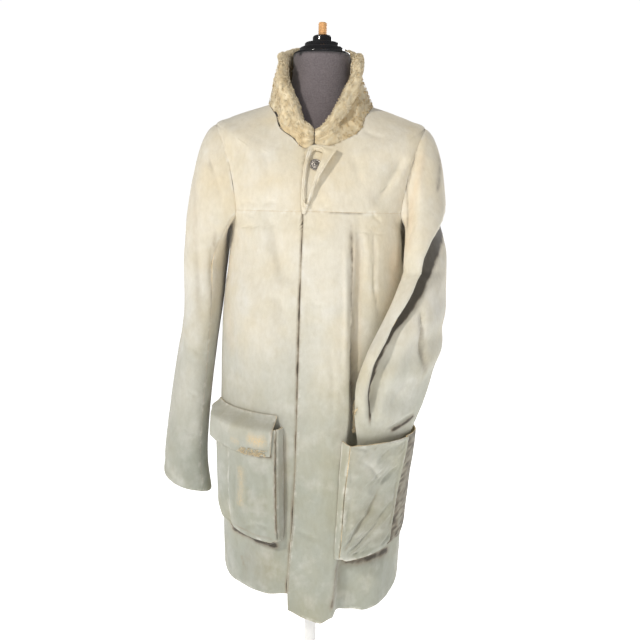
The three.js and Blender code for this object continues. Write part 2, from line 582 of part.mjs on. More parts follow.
// ---- collar ------------------------------------------------------------------------------------
// A section of the collar: it climbs from the neck seam and ends in a roll. On the wearer's left the roll
// overhangs what is below it.
function collarRing(u) {
  const a = turnOf(u);
  const v = neckLevel(u);
  const raised = Math.cos(u * RAD) > 0.5 ? lap(u, v) : 0;
  const seat = base(u, v).addScaledVector(baseNormal(u, v), raised + 0.9);
  const out = vec(seat.x, seat.y + 14, 0).normalize();
  const rows = a < 0 ? COLLAR.right : COLLAR.left;
  const [inset, up, r] = [1, 2, 3].map((c) => table(rows.map((row) => [row[0], row[c]]), Math.abs(a)));
  const x = -inset;
  const hang = smooth(6, 22, a) * (1 - smooth(140, 172, a));
  const points = [
    [0, 0.4],
    [0.3 * x + mix(3, -1, hang), 0.3 * up],
    [mix(0.55 * x + 6, x + 0.25 * r, hang), mix(0.55 * up, up - 2 * r, hang)],
    [x + r * mix(0.82, 0.9, hang), up - r * mix(0.62, 1.7, hang)],
    [x + r * mix(1, 1.05, hang), up + r * mix(0.15, -0.3, hang)],
    [x + 0.62 * r, up + 0.8 * r],
    [x - 0.1 * r, up + r],
    [x - 0.78 * r, up + 0.62 * r],
    [x - r, up - 0.15 * r],
    [x - 0.72 * r, up - 0.8 * r],
    [0.5 * x - 6.5, 2.75 + 0.45 * up],
    [-8.5, 5],
  ];
  return points.map(([o, h]) => seat.clone().addScaledVector(out, o).add(vec(0, 0, h)));
}
addPiece("collar", "fur", loft(COLLAR_STOPS.map((stop) => collarRing(COLLAR_FROM + stop))));

// ---- throat tab and button ---------------------------------------------------------------------
// A closed line of points cut into n equal steps.
function resample(points, n) {
  const closed = [...points, points[0]];
  const run = [0];
  for (let i = 1; i < closed.length; i++)
    run.push(run[i - 1] + Math.hypot(closed[i][0] - closed[i - 1][0], closed[i][1] - closed[i - 1][1]));
  return Array.from({ length: n }, (_, k) => {
    const want = (run[run.length - 1] * k) / n;
    let i = 1;
    while (run[i] < want) i++;
    const s = (want - run[i - 1]) / (run[i] - run[i - 1]);
    return [mix(closed[i - 1][0], closed[i][0], s), mix(closed[i - 1][1], closed[i][1], s)];
  });
}
// The tab rises over the button and along its free side.
function tabRise(x, z) {
  const freeSide = smooth(-24, 2, x - table(TAB_EDGE, z)) * smooth(1145, 1180, z);
  return 0.35 + 5.2 * hump(z, BUTTON.z, 34) + 6 * freeSide;
}
function tabRows() {
  const rim = resample(TAB, TAB_POINTS);
  const slot = resample(SLOT, TAB_POINTS);
  return [0, 0.5, 1].map((k) =>
    rim.map(([x, z], i) => {
      const [X, Z] = [mix(x, slot[i][0], k), mix(z, slot[i][1], k)];
      const [u, v] = frontAt(X, Z);
      const crown = k === 0.5 ? 0.8 : 0;
      return { p: outer(u, v, lap(u, v) + tabRise(X, Z) + SKIN + crown), n: baseNormal(u, v) };
    }),
  );
}
addPiece("throat_tab", "skin", wall(tabRows(), SKIN, true));

const turnedGeometry = (profile, segments) =>
  new THREE.LatheGeometry(profile.map(([r, h]) => new THREE.Vector2(r, h)), segments);
function button() {
  const { x, z, radius, foot, thick } = BUTTON;
  const [u, v] = frontAt(x, z);
  const profile = [[0, 0], [foot, 0], [radius, 1.1], [radius, 2.4], [9.3, thick], [7.6, 3.1], [0, 3.3]];
  const mesh = addPiece("button", "button", turnedGeometry(profile, 22));
  mesh.quaternion.setFromUnitVectors(vec(0, 1, 0), baseNormal(u, v));
  mesh.position.copy(outer(u, v, lap(u, v) + CLEAR));
}
button();

// ---- pockets -----------------------------------------------------------------------------------
// s runs from a pocket's inner to its outer edge, r from the top down.
const corner = (pair, other, s, r) => mix(mix(pair[0], other[0], s), mix(pair[1], other[1], s), r);
function pocketSpot(k, s, r) {
  const u = corner(k.in, k.out, s, r);
  const z = mix(mix(k.top[0], k.top[1], s), mix(k.bottom[0], k.bottom[1], s), r);
  const rounded = 7 * smooth(0.86, 1, r) * (smooth(0.12, 0, s) + smooth(0.88, 1, s));
  return [k.side * u, levelAt(z + rounded)];
}
function pocketOut(k, s, r) {
  const sag = 6 * Math.sin(Math.PI * clamp(s)) * (0.4 + 0.6 * r);
  const gape = mix(k.off[0], k.off[1], smooth(0, 0.55, r));
  const ripple = k.ripple * Math.sin(9 * s + 5 * r) * smooth(0.1, 0.4, r) * smooth(1, 0.8, r);
  return gape + sag + 3 * Math.sin(Math.PI * clamp(r)) - ripple;
}
const spotGrid = (down, across) => even(down).map((r) => even(across).map((s) => [s, r]));
function pocketFront(name, k) {
  const place = (s, r) => {
    const [u, v] = pocketSpot(k, s, r);
    return off(u, v, pocketOut(k, s, r) + SKIN);
  };
  addPiece(name, "skin", wall(gridOf(place, spotGrid(8, 9), 0.03, 0.03, onAxis), SKIN));
}
// The gusset runs down the inner side, along the bottom and up the outer side. Each step of its path holds
// s, r and how far it leans sideways and down.
const GUSSET_PATH = [
  ...even(8).slice(0, -1).map((r) => [0, r, -1, 0]),
  [0, 1, -0.7, 0.7],
  ...even(9).slice(1, -1).map((s) => [s, 1, 0, 1]),
  [1, 1, 0.7, 0.7],
  ...even(8).slice(0, -1).reverse().map((r) => [1, r, 1, 0]),
];
const GUSSET_WIDTH = [0, 0.33, 0.66, 1];
function pocketGusset(name, k) {
  const points = GUSSET_PATH.map(([s, r, lean, down]) =>
    GUSSET_WIDTH.map((w) => {
      const [u, v] = pocketSpot(k, s, r);
      const outside = lean > 0;
      const footU = u + k.side * lean * (outside ? k.reach : GUSSET.tuck) * w;
      const footV = levelAt(base(u, v).z - down * GUSSET.drop * w);
      const far = pocketOut(k, s, r) - GUSSET.inset;
      const near = coatFace(footU, footV) + (outside ? GUSSET.side : GUSSET.inner);
      const swell = outside ? k.swell : Math.min(GUSSET.inner_swell, 0.33 * (far - near));
      return off(footU, footV, mix(far, near, w) + swell * Math.sin(Math.PI * w));
    }),
  );
  const [u, v] = pocketSpot(k, 0.5, 0.5);
  const middle = off(u, v, 8);
  const next = (list, i) => list[Math.min(i + 1, list.length - 1)];
  const previous = (list, i) => list[Math.max(i - 1, 0)];
  const rows = points.map((row, i) =>
    row.map((p, j) => {
      const along = next(points, i)[j].clone().sub(previous(points, i)[j]);
      const across = next(row, j).clone().sub(previous(row, j));
      const n = along.cross(across).normalize();
      if (n.dot(p.clone().sub(middle)) < 0) n.negate();
      return { p, n };
    }),
  );
  addPiece(name, "skin", wall(rows, GUSSET_SKIN));
}
pocketFront("pocket_right_front", POCKETS.right);
pocketGusset("pocket_right_gusset", POCKETS.right);
pocketFront("pocket_left_front", POCKETS.left);
pocketGusset("pocket_left_gusset", POCKETS.left);

// The right flap is sewn to the coat along its top and falls over the pocket's mouth.
const FLAP_ROWS = [0, 0.1, 0.22, 0.34, 0.56, 0.78, 1];
function flapRightPlace(s, r) {
  const k = POCKETS.right;
  const u = -corner(FLAP.in, FLAP.out, s, r);
  const straight = mix(mix(FLAP.top[0], FLAP.top[1], s), mix(FLAP.bottom[0], FLAP.bottom[1], s), r);
  const v = levelAt(straight - FLAP.sag * Math.sin(Math.PI * clamp(s)) * r + 3 * smooth(0.9, 1, s) * r);
  const overPocket = clamp((-u - k.in[0]) / (k.out[0] - k.in[0]));
  const clear = pocketOut(k, overPocket, 0.1) + 2 * SKIN + FLAP.slack;
  const hanging = clear * (1 - 0.42 * smooth(0.72, 1, s)) + 3 * r;
  return off(u, v, mix(coatFace(u, v) + SKIN + CLEAR, hanging, smooth(0, 0.34, r)));
}
const flapSpots = FLAP_ROWS.map((r) => even(13).map((s) => [s, r]));
addPiece("flap_right", "skin", wall(gridOf(flapRightPlace, flapSpots, 0.03, 0.03, onAxis), SKIN));

// The left flap stands up flat against the coat behind the sleeve.
function flapLeftRows() {
  return even(4).map((r) =>
    even(9).map((s) => {
      const u = mix(FLAP_UP.u[0], FLAP_UP.u[1], s);
      const v = levelAt(mix(FLAP_UP.z[0], FLAP_UP.z[1], r) - 3 * smooth(0.8, 1, s) * r);
      const face = Math.max(0, coatFace(u, v));
      return { p: off(u, v, face + CLEAR + FLAP_UP.off + 0.6 * r), n: baseNormal(u, v) };
    }),
  );
}
addPiece("flap_left", "skin", wall(flapLeftRows(), FLAP_SKIN));

// ---- dress form and stand ----------------------------------------------------------------------
function formInset(u, v) {
  const shoulder = Math.abs(Math.sin(u * RAD)) ** 3;
  return table(INSIDE, v) + 9 * (1 - shoulder) * smooth(9, 10.5, v);
}
function formRings() {
  const around = even(FORM_AROUND).slice(0, -1).map((k) => 360 * k);
  const underside = around.map((u) => off(u, FORM_BOTTOM, -62).setZ(616));
  const torso = FORM_LEVELS.map((v) =>
    around.map((u) => base(u, v).addScaledVector(baseNormal(u, v), -formInset(u, v))),
  );
  const neck = NECK.map(([zs, zf, zb, a, bf, bb]) =>
    around.map((u) => {
      const s = Math.sin(u * RAD);
      const c = Math.cos(u * RAD);
      const z = zs + ((c > 0 ? zf : zb) - zs) * c * c;
      return vec(a * power(s, NECK_ROUND), -(c > 0 ? bf : bb) * power(c, NECK_ROUND), z);
    }),
  );
  return [underside, ...torso, ...neck];
}
addPiece("form_torso", "jersey", loft(formRings()));

const standing = (profile, segments) => turnedGeometry(profile, segments).rotateX(Math.PI / 2);
function postProfile() {
  const { radius, root, pitch, bottom, top } = POST;
  const turns = [];
  for (let z = bottom + 1.2; z < top - 2.4; z += pitch) turns.push([radius, z], [root, z + pitch / 2]);
  return [[0, bottom], [radius, bottom], ...turns, [radius, top - 1.2], [root, top], [0, top]];
}
addPiece("form_neck_cap", "cap", standing(CAP, 32).scale(1, 0.95, 1));
addPiece("form_post", "post", standing(postProfile(), 20));
addPiece("stand_pole", "stand", standing(POLE, 24));
addPiece("stand_base", "stand", standing(BASE, 48));

export default group;
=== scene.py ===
"""A thigh-length sheepskin coat with a curly lamb collar on a limbless dress form.

The coat is cut as a tailor cuts it: fronts, yokes, back, two-piece sleeves, collar, throat tab and
bellows pockets, each laid as its own skin over one body shape. Shapes are worked out in millimetres and
degrees and stored in metres.
"""

import itertools
import math

import bmesh
import bpy
import numpy as np
from mathutils import Matrix, Vector


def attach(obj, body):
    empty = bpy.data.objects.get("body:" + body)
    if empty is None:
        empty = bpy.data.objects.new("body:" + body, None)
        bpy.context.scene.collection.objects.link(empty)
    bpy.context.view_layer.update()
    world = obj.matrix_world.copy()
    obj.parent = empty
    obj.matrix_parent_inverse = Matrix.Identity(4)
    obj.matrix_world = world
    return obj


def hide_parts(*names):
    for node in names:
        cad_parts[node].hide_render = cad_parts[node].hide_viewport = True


bl_info = {
    "name": "Sheepskin coat on a dress form",
    "version": (1, 0, 0),
    "blender": (4, 5, 0),
    "location": "View3D > Sidebar > Coat",
    "description": "Builds a sheepskin coat with a lamb collar on a dress form",
    "category": "Object",
}

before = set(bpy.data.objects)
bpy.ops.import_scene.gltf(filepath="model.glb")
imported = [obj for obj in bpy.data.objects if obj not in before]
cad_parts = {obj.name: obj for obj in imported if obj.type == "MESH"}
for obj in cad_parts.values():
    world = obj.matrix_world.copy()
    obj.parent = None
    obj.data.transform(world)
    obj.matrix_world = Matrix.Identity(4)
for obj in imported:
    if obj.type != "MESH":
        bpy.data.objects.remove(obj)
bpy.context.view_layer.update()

MM, METRE = 0.001, 1000  # a millimetre in metres, and a metre in millimetres
RAD = math.pi / 180

# ---- the coat's measures, in millimetres --------------------------------------------------------
ROUND = 2.4  # how square a level ring is: 2 would be an ellipse
YOKE_LEVEL, NECK_LEVEL = 7.0, 13.0
BOTTOM, YOKE_SEAM = 370, 1145  # heights of the lowest ring and of the seam under the yokes
SEAM_ANGLE = 0.36 / 6 / 2.6  # degrees left open beside an armhole seam
UNDERLAP_X = 8.0
LAP_END = (14, 62)  # x over which the left front comes down on the coat
# Armholes: angle and level of their middle, half sizes, and how square they are.
HOLE_ANGLE, HOLE_LEVEL, HOLE_HALF_ANGLE, HOLE_HALF_LEVEL, HOLE_ROUND = 90.0, 8.0, 36, 2, 0.8
# Level rings: height at the side, front and back, half width, depth to the front and to the back.
LEVELS = [
    (370, 370, 370, 179, 174, 166),
    (500, 500, 500, 184, 174, 166),
    (650, 650, 650, 188, 172, 161),
    (800, 800, 800, 190, 168, 152),
    (950, 950, 950, 186, 162, 144),
    (1050, 1050, 1050, 175, 156, 141),
    (1115, 1113, 1113, 171, 152.5, 140),
    (1145, 1145, 1145, 178, 149.5, 140),
    (1210, 1186, 1195, 193, 143.5, 138),
    (1262, 1215, 1238, 200, 136, 133),
    (1306, 1240, 1280, 201.6, 127, 118),
    (1320, 1251, 1308, 174, 122.5, 105),
    (1332, 1262, 1331, 140, 118, 91),
    (1345, 1275, 1352, 98, 113, 76),
]
EDGE_X = [
    (370, -41), (428, -43), (509, -39), (563, -35), (671, -32), (807, -30), (917, -29), (1042, -28),
    (1144, -26), (1200, -28), (1262, -24),
]
# The long fold: x of its crest, its height, where it rises, drops and ends beside the crest, its dip.
CREST_X = [
    (370, 38), (418, 40), (500, 44), (607, 51), (714, 56), (792, 60), (845, 61), (918, 62), (994, 63),
    (1056, 64), (1136, 62),
]
CREST_H = [(370, 15), (500, 15), (800, 13), (1000, 11), (1080, 7), (1128, 1.5), (1145, 0)]
CREST_RISE, CREST_DROP, CREST_END, CREST_DIP = (-88, -12), 13, 62, -0.5
HEM_RIGHT = [(-185, 424), (-150, 423), (-122, 420), (-91, 426), (-45, 431), (10, 434)]
HEM_LEFT = [(-45, 400), (-10, 386), (19, 379), (38, 389), (56, 394), (105, 387), (140, 394), (185, 408)]
HEM_BACK = [(-185, 424), (0, 412), (185, 408)]
# Folds: a line of (x, z) on the coat, half width, height.
FOLDS = [
    ([(-86, 1136), (-74, 1082), (-60, 1040), (-50, 1010)], 14, -5),
    ([(-76, 1005), (-66, 975), (-58, 940)], 12, -3),
    ([(-150, 1290), (-147, 1230), (-142, 1170)], 15, -4),
    ([(158, 1255), (125, 1205), (92, 1152)], 16, -5),
    ([(-125, 560), (-128, 480), (-126, 370)], 20, -6),
    ([(-70, 530), (-78, 450), (-76, 370)], 18, 4),
    ([(-118, 1040), (-112, 940), (-104, 820)], 26, 3.5),
    ([(112, 1120), (104, 1040), (98, 960), (92, 860)], 16, 4),
    ([(118, 500), (122, 440), (124, 370)], 20, 5),
    ([(86, 480), (84, 430), (84, 370)], 12, -4),
]
BACK_FOLDS = [
    ([(0, 1080), (2, 800), (-4, 560), (-6, 370)], 34, 6),
    ([(-78, 900), (-84, 640), (-90, 370)], 26, -7),
    ([(80, 940), (90, 660), (96, 370)], 26, -7),
    ([(-128, 760), (-136, 560), (-140, 370)], 22, 5),
    ([(132, 720), (140, 560), (146, 370)], 22, 5),
    ([(-60, 1180), (-100, 1120), (-130, 1070)], 18, -4),
    ([(58, 1190), (100, 1125), (132, 1070)], 18, -4),
]
# Right sleeve: height, centre x and y, half width, half depth, turn.
SLEEVE_RIGHT = [
    (1040, 222.5, 2, 41.5, 78, 0), (962, 228, 0, 39, 76, 5), (867, 240, -4, 39, 72, 9),
    (756, 253.5, -12, 40.5, 68, 13), (662, 262, -22, 44, 64, 16), (598, 257.5, -32, 48.5, 60, 20),
]
# Left sleeve: height, middle and half angle round the coat, nearest and farthest distance off it.
SLEEVE_LEFT = [
    (1040, 84, 37, 6, 77), (985, 74, 38, 6.5, 71), (935, 64, 37, 7.5, 67), (880, 54, 34, 8.5, 62),
    (832, 46, 29.5, 9.5, 52), (790, 41, 24.5, 10, 47), (752, 38, 20, 9, 39), (712, 36.5, 16, 7, 31),
]
SEAM_FRONT, SEAM_BACK = 118.0, 248.0
CUFF_TILT, CUFF_DROP = 12.0, 3
SLEEVE_ROUND_RIGHT, SLEEVE_ROUND_LEFT, SLEEVE_DEPTH_ROUND = 0.86, 0.72, 0.86
# The left sleeve's roll: (angle, height) of its lower edge, and (height, width) of the fold under it.
ROLL_LINE = [
    (-30, 1166), (5, 1150), (25, 1129), (45, 1095), (58, 1062), (62, 1030), (60, 974), (60, 911), (52, 843),
    (46, 788), (44, 740),
]
FOLD_WIDTH = [(760, 18), (843, 24), (911, 32), (980, 40), (1062, 54), (1130, 60)]
# How high the roll is, how far above its edge and how wide, how deep the fold under it is, and over which
# heights and angles it comes in and grows.
ROLL = dict(height=8, at=-14, width=13, deep=19, heights=(767, 823), turn=(-32, 12), grow=(5, 45))
# Collar, on the wearer's right and left: angle from the front, how far the roll lies inside the neck
# seam and above it, its radius.
COLLAR_RIGHT = [
    (0, 12, 22, 12), (5, 12, 28, 12), (12, 14, 38, 12.5), (20, 18, 47, 13), (30, 18, 64, 13),
    (45, 13, 84, 11.5), (60, 19, 90, 9.5), (90, 28, 84, 9.5), (120, 24, 94, 10.5), (150, 13, 100, 12),
    (180, 9, 102, 12.5),
]
COLLAR_LEFT = [
    (0, 12, 24, 12.5), (5, 14, 38, 13.5), (12, 17, 54, 14.5), (20, 20, 64, 15), (30, 25, 76, 14.5),
    (45, 20, 88, 12.5), (60, 25, 94, 9.5), (90, 30, 79, 9.5), (120, 25, 91, 10.5), (150, 13, 99, 12),
    (180, 9, 102, 12.5),
]
COLLAR_FROM, COLLAR_TO = -2.2, 357.4
CURL_LIFT = 0.0003  # metres off the collar
COLLAR_GROOVES = (0.11, 0.19, 0.27)  # places round the collar's section
TAB = [
    (-18, 1257), (-4, 1260), (13, 1258), (31, 1253), (28, 1245), (20, 1233), (11, 1219), (3, 1206),
    (-4, 1194), (-9, 1180), (-14, 1166), (-19, 1152), (-23, 1141), (-28, 1141), (-30, 1155), (-30.5, 1170),
    (-30, 1186), (-29, 1202), (-27.5, 1217), (-25, 1232), (-22, 1246),
]
SLOT = [
    (-9, 1251), (1, 1249), (5, 1244), (4, 1236), (0, 1224), (-6, 1209), (-12, 1190), (-17, 1172),
    (-21, 1157), (-23, 1158), (-24.5, 1174), (-24, 1194), (-22.5, 1212), (-20.5, 1226), (-17.5, 1237),
    (-14, 1246),
]
# The tab's flat size in metres, and how much of it the slot leaves.
TAB_FLAT, TAB_LEFT = (0.062, 0.122), 0.5
BUTTON_X, BUTTON_Z = -7.0, 1226.0
POCKETS = {
    "right": dict(
        side=-1, inner=(15.6, 14.4), outer=(45, 43), top=(755, 752), bottom=(539, 558), off=(24, 26),
        reach=27, swell=9,
    ),
    "left": dict(
        side=1, inner=(13.8, 11.4), outer=(45, 40.5), top=(735, 741), bottom=(508, 530), off=(46, 28),
        reach=26, swell=9,
    ),
}
FLAP_LEFT = dict(angles=(18, 52), heights=(744, 806))
FLAP = dict(inner=(16.4, 17.6), outer=(74, 74), top=(776, 779), bottom=(707, 724))
INSIDE = [
    (2, 38), (3, 34), (4, 44), (5, 30), (6, 17), (7, 14), (8, 12), (9, 10), (9.7, 8), (10.3, 6.5),
    (11, 3.5), (12.4, 3.5), (13, 4.2),
]
FORM_UNDERSIDE = 0.616  # metres
FORM_LOW, NECK_FROM, NECK_JOINED = 1.85, 0.8, 0.83  # lowest level; where the neck starts, from 0 to 1
NECK_PULLS = ((1414, 2.4, -0.9), (1398, 3, -0.8), (1376, 3.5, -0.6))  # height, half width, rise
NECK = [
    (1347, 1279, 1354, 82, 89, 64), (1361, 1300, 1366, 68, 76, 56), (1384, 1340, 1385, 59, 66, 52),
    (1412, 1390, 1410, 55.5, 57, 50), (1438, 1438, 1438, 54.5, 54, 49),
]

# Creases: a line of (x, z), half width, height.
CREASES = {
    "skin_front_left": [
        ([(60, 1136), (64, 1060), (65, 973), (69, 860), (70, 765)], 6, -3.4),
        ([(48, 1127), (53, 990), (55, 808)], 4.5, 1.3),
        ([(62, 734), (58, 668), (55, 535), (51, 410)], 4, -2.0),
        ([(47, 680), (43, 543), (37, 436)], 5, 1.0),
        ([(95, 1127), (104, 1073), (103, 1032), (105, 1005), (114, 951)], 3.2, -2.2),
        ([(83, 1127), (91, 1074), (90, 1005)], 4, 1.3),
        ([(158, 1137), (165, 1090), (167, 1038)], 6, -3.5),
        ([(141, 1134), (146, 1085), (144, 1029)], 6, 1.6),
        ([(96, 1143), (104, 1136), (116, 1129)], 2.6, -1.4),
        ([(65, 1108), (82, 1112), (94, 1108)], 2, -0.9),
        ([(99, 1110), (113, 1107), (126, 1110)], 2, -0.8),
        ([(-33, 562), (-6, 550), (14, 546)], 3.5, -1.8),
        ([(124, 930), (118, 864), (103, 804)], 6, -1.6),
        ([(109, 483), (109, 446), (105, 410)], 3, -1.2),
        ([(140, 490), (137, 452), (135, 416)], 3.5, 1.3),
        ([(-14, 990), (0, 981), (18, 984)], 3, -0.9),
        ([(21, 734), (9, 680), (6, 609)], 6, -1.1),
        ([(23, 920), (34, 844), (32, 761)], 6, -1.0),
    ],
    "skin_front_right": [
        ([(-90, 1145), (-77, 1104), (-68, 1057), (-62, 1008)], 6, -2.6),
        ([(-75, 998), (-64, 978), (-55, 960)], 5, -2.0),
        ([(-104, 1141), (-94, 1096), (-83, 1045)], 6, 1.3),
        ([(-168, 978), (-153, 904), (-156, 808)], 5, -2.0),
        ([(-144, 975), (-138, 897), (-141, 820)], 4, -1.3),
        ([(-144, 1113), (-125, 1117), (-108, 1115)], 2.6, -1.6),
        ([(-132, 1143), (-123, 1136), (-114, 1133)], 2.4, -1.2),
        ([(-144, 546), (-146, 501), (-147, 463)], 2.6, -1.6),
        ([(-96, 916), (-83, 856), (-91, 796)], 7, -1.3),
        ([(-50, 750), (-50, 656), (-52, 539)], 5, -1.3),
        ([(-98, 498), (-99, 459), (-100, 423)], 5, -1.4),
        ([(-46, 934), (-48, 844), (-43, 761)], 5, 0.9),
    ],
    "skin_yoke_left": [
        ([(157, 1249), (142, 1224), (121, 1188), (97, 1158)], 7, -3.2),
        ([(110, 1180), (123, 1192), (136, 1202)], 2.6, -1.4),
        ([(176, 1265), (158, 1228), (138, 1195)], 6, 1.8),
        ([(-23, 1147), (-16, 1167), (0, 1189)], 2.2, -1.1),
        ([(-21, 1145), (-4, 1159), (16, 1173)], 2.2, -1.2),
        ([(-19, 1145), (3, 1150), (28, 1158)], 2.0, -0.9),
        ([(52, 1255), (70, 1222), (78, 1184)], 7, -1.5),
        ([(74, 1295), (96, 1284), (122, 1281)], 4, -1.0),
    ],
    "skin_yoke_right": [
        ([(-147, 1285), (-141, 1238), (-142, 1167)], 9, -1.2),
        ([(-175, 1291), (-173, 1240), (-168, 1174)], 5, 1.6),
        ([(-161, 1270), (-159, 1229), (-155, 1166)], 2.6, -0.8),
        ([(-108, 1273), (-93, 1228), (-89, 1175)], 7, -1.2),
        ([(-151, 1156), (-128, 1161), (-107, 1156)], 3, -1.2),
        ([(-103, 1155), (-88, 1162), (-70, 1157)], 3, -1.0),
    ],
    "skin_sleeve_left_upper": [
        ([(185, 1281), (161, 1194), (163, 1107)], 3, -2.4),
        ([(199, 1303), (185, 1230), (181, 1163)], 7, 2.0),
        ([(190, 988), (192, 949), (195, 907), (199, 848)], 4.5, -5.0),
        ([(202, 1239), (215, 1253), (228, 1263)], 2.2, -1.3),
        ([(160, 1082), (166, 1109), (175, 1124)], 2.4, -1.4),
        ([(115, 821), (120, 864), (133, 903)], 4, -1.4),
        ([(130, 754), (156, 768), (189, 784)], 4, -3.0),
        ([(207, 1055), (225, 1067), (250, 1081)], 2.5, -1.5),
        ([(168, 861), (155, 825), (135, 797)], 6, -1.2),
        ([(101, 758), (111, 791), (113, 821)], 4, -1.2),
    ],
    "skin_sleeve_right_upper": [
        ([(-214, 1249), (-202, 1221), (-188, 1185), (-178, 1152)], 3, -2.4),
        ([(-241, 1235), (-231, 1129), (-226, 1026), (-222, 923)], 7, -2.2),
        ([(-249, 1185), (-253, 1091), (-249, 995)], 6, 1.2),
        ([(-214, 709), (-217, 653), (-217, 604)], 2.4, -1.5),
        ([(-243, 881), (-226, 869), (-209, 869)], 4, -1.3),
        ([(-250, 797), (-232, 783), (-213, 781)], 4, -1.2),
        ([(-195, 1107), (-202, 1050), (-205, 977)], 4, -1.6),
        ([(-261, 721), (-245, 710), (-229, 707)], 3, -1.0),
    ],
    "skin_pocket_right": [
        ([(-145, 701), (-145, 639), (-144, 571)], 2.4, -1.4),
        ([(-154, 704), (-154, 639), (-150, 572)], 2.0, 1.1),
        ([(-126, 693), (-116, 652), (-120, 599)], 6, -1.2),
        ([(-88, 711), (-80, 646), (-86, 578)], 6, -1.1),
        ([(-130, 560), (-103, 578), (-75, 569)], 4, -1.2),
    ],
    "skin_pocket_left": [
        ([(57, 527), (77, 559), (104, 602), (126, 659)], 4.5, -3.4),
        ([(60, 521), (91, 544), (121, 579), (146, 617)], 4, -3.2),
        ([(64, 521), (99, 527), (134, 540)], 3, -1.8),
        ([(55, 537), (66, 591), (75, 650)], 4, -1.9),
        ([(125, 660), (108, 691), (84, 709)], 3, -1.4),
        ([(124, 657), (142, 678), (160, 690)], 3, -1.4),
        ([(75, 650), (67, 690), (72, 724)], 4, -1.3),
        ([(66, 735), (94, 728), (123, 734)], 3, -1.3),
    ],
    "skin_back": [
        (
            [(-122, 1180), (-98, 1122), (-88, 1062)], 8, -2.2,
        ), ([(-32, 1245), (-22, 1170), (-29, 1098)], 6, -1.6),
        ([(72, 1112), (60, 1040), (67, 975)], 6, -2.0), ([(-142, 905), (-112, 882), (-84, 874)], 5, -1.6),
        ([(22, 705), (25, 600), (17, 498)], 7, -2.2), ([(-50, 642), (-57, 540), (-52, 424)], 7, 1.7),
        ([(121, 625), (111, 520), (119, 402)], 6, -1.9), ([(34, 905), (66, 893), (102, 899)], 4, -1.3),
        ([(118, 1195), (104, 1150), (108, 1100)], 5, -1.5), ([(-12, 850), (-5, 790), (-10, 742)], 5, -1.2),
    ],
}
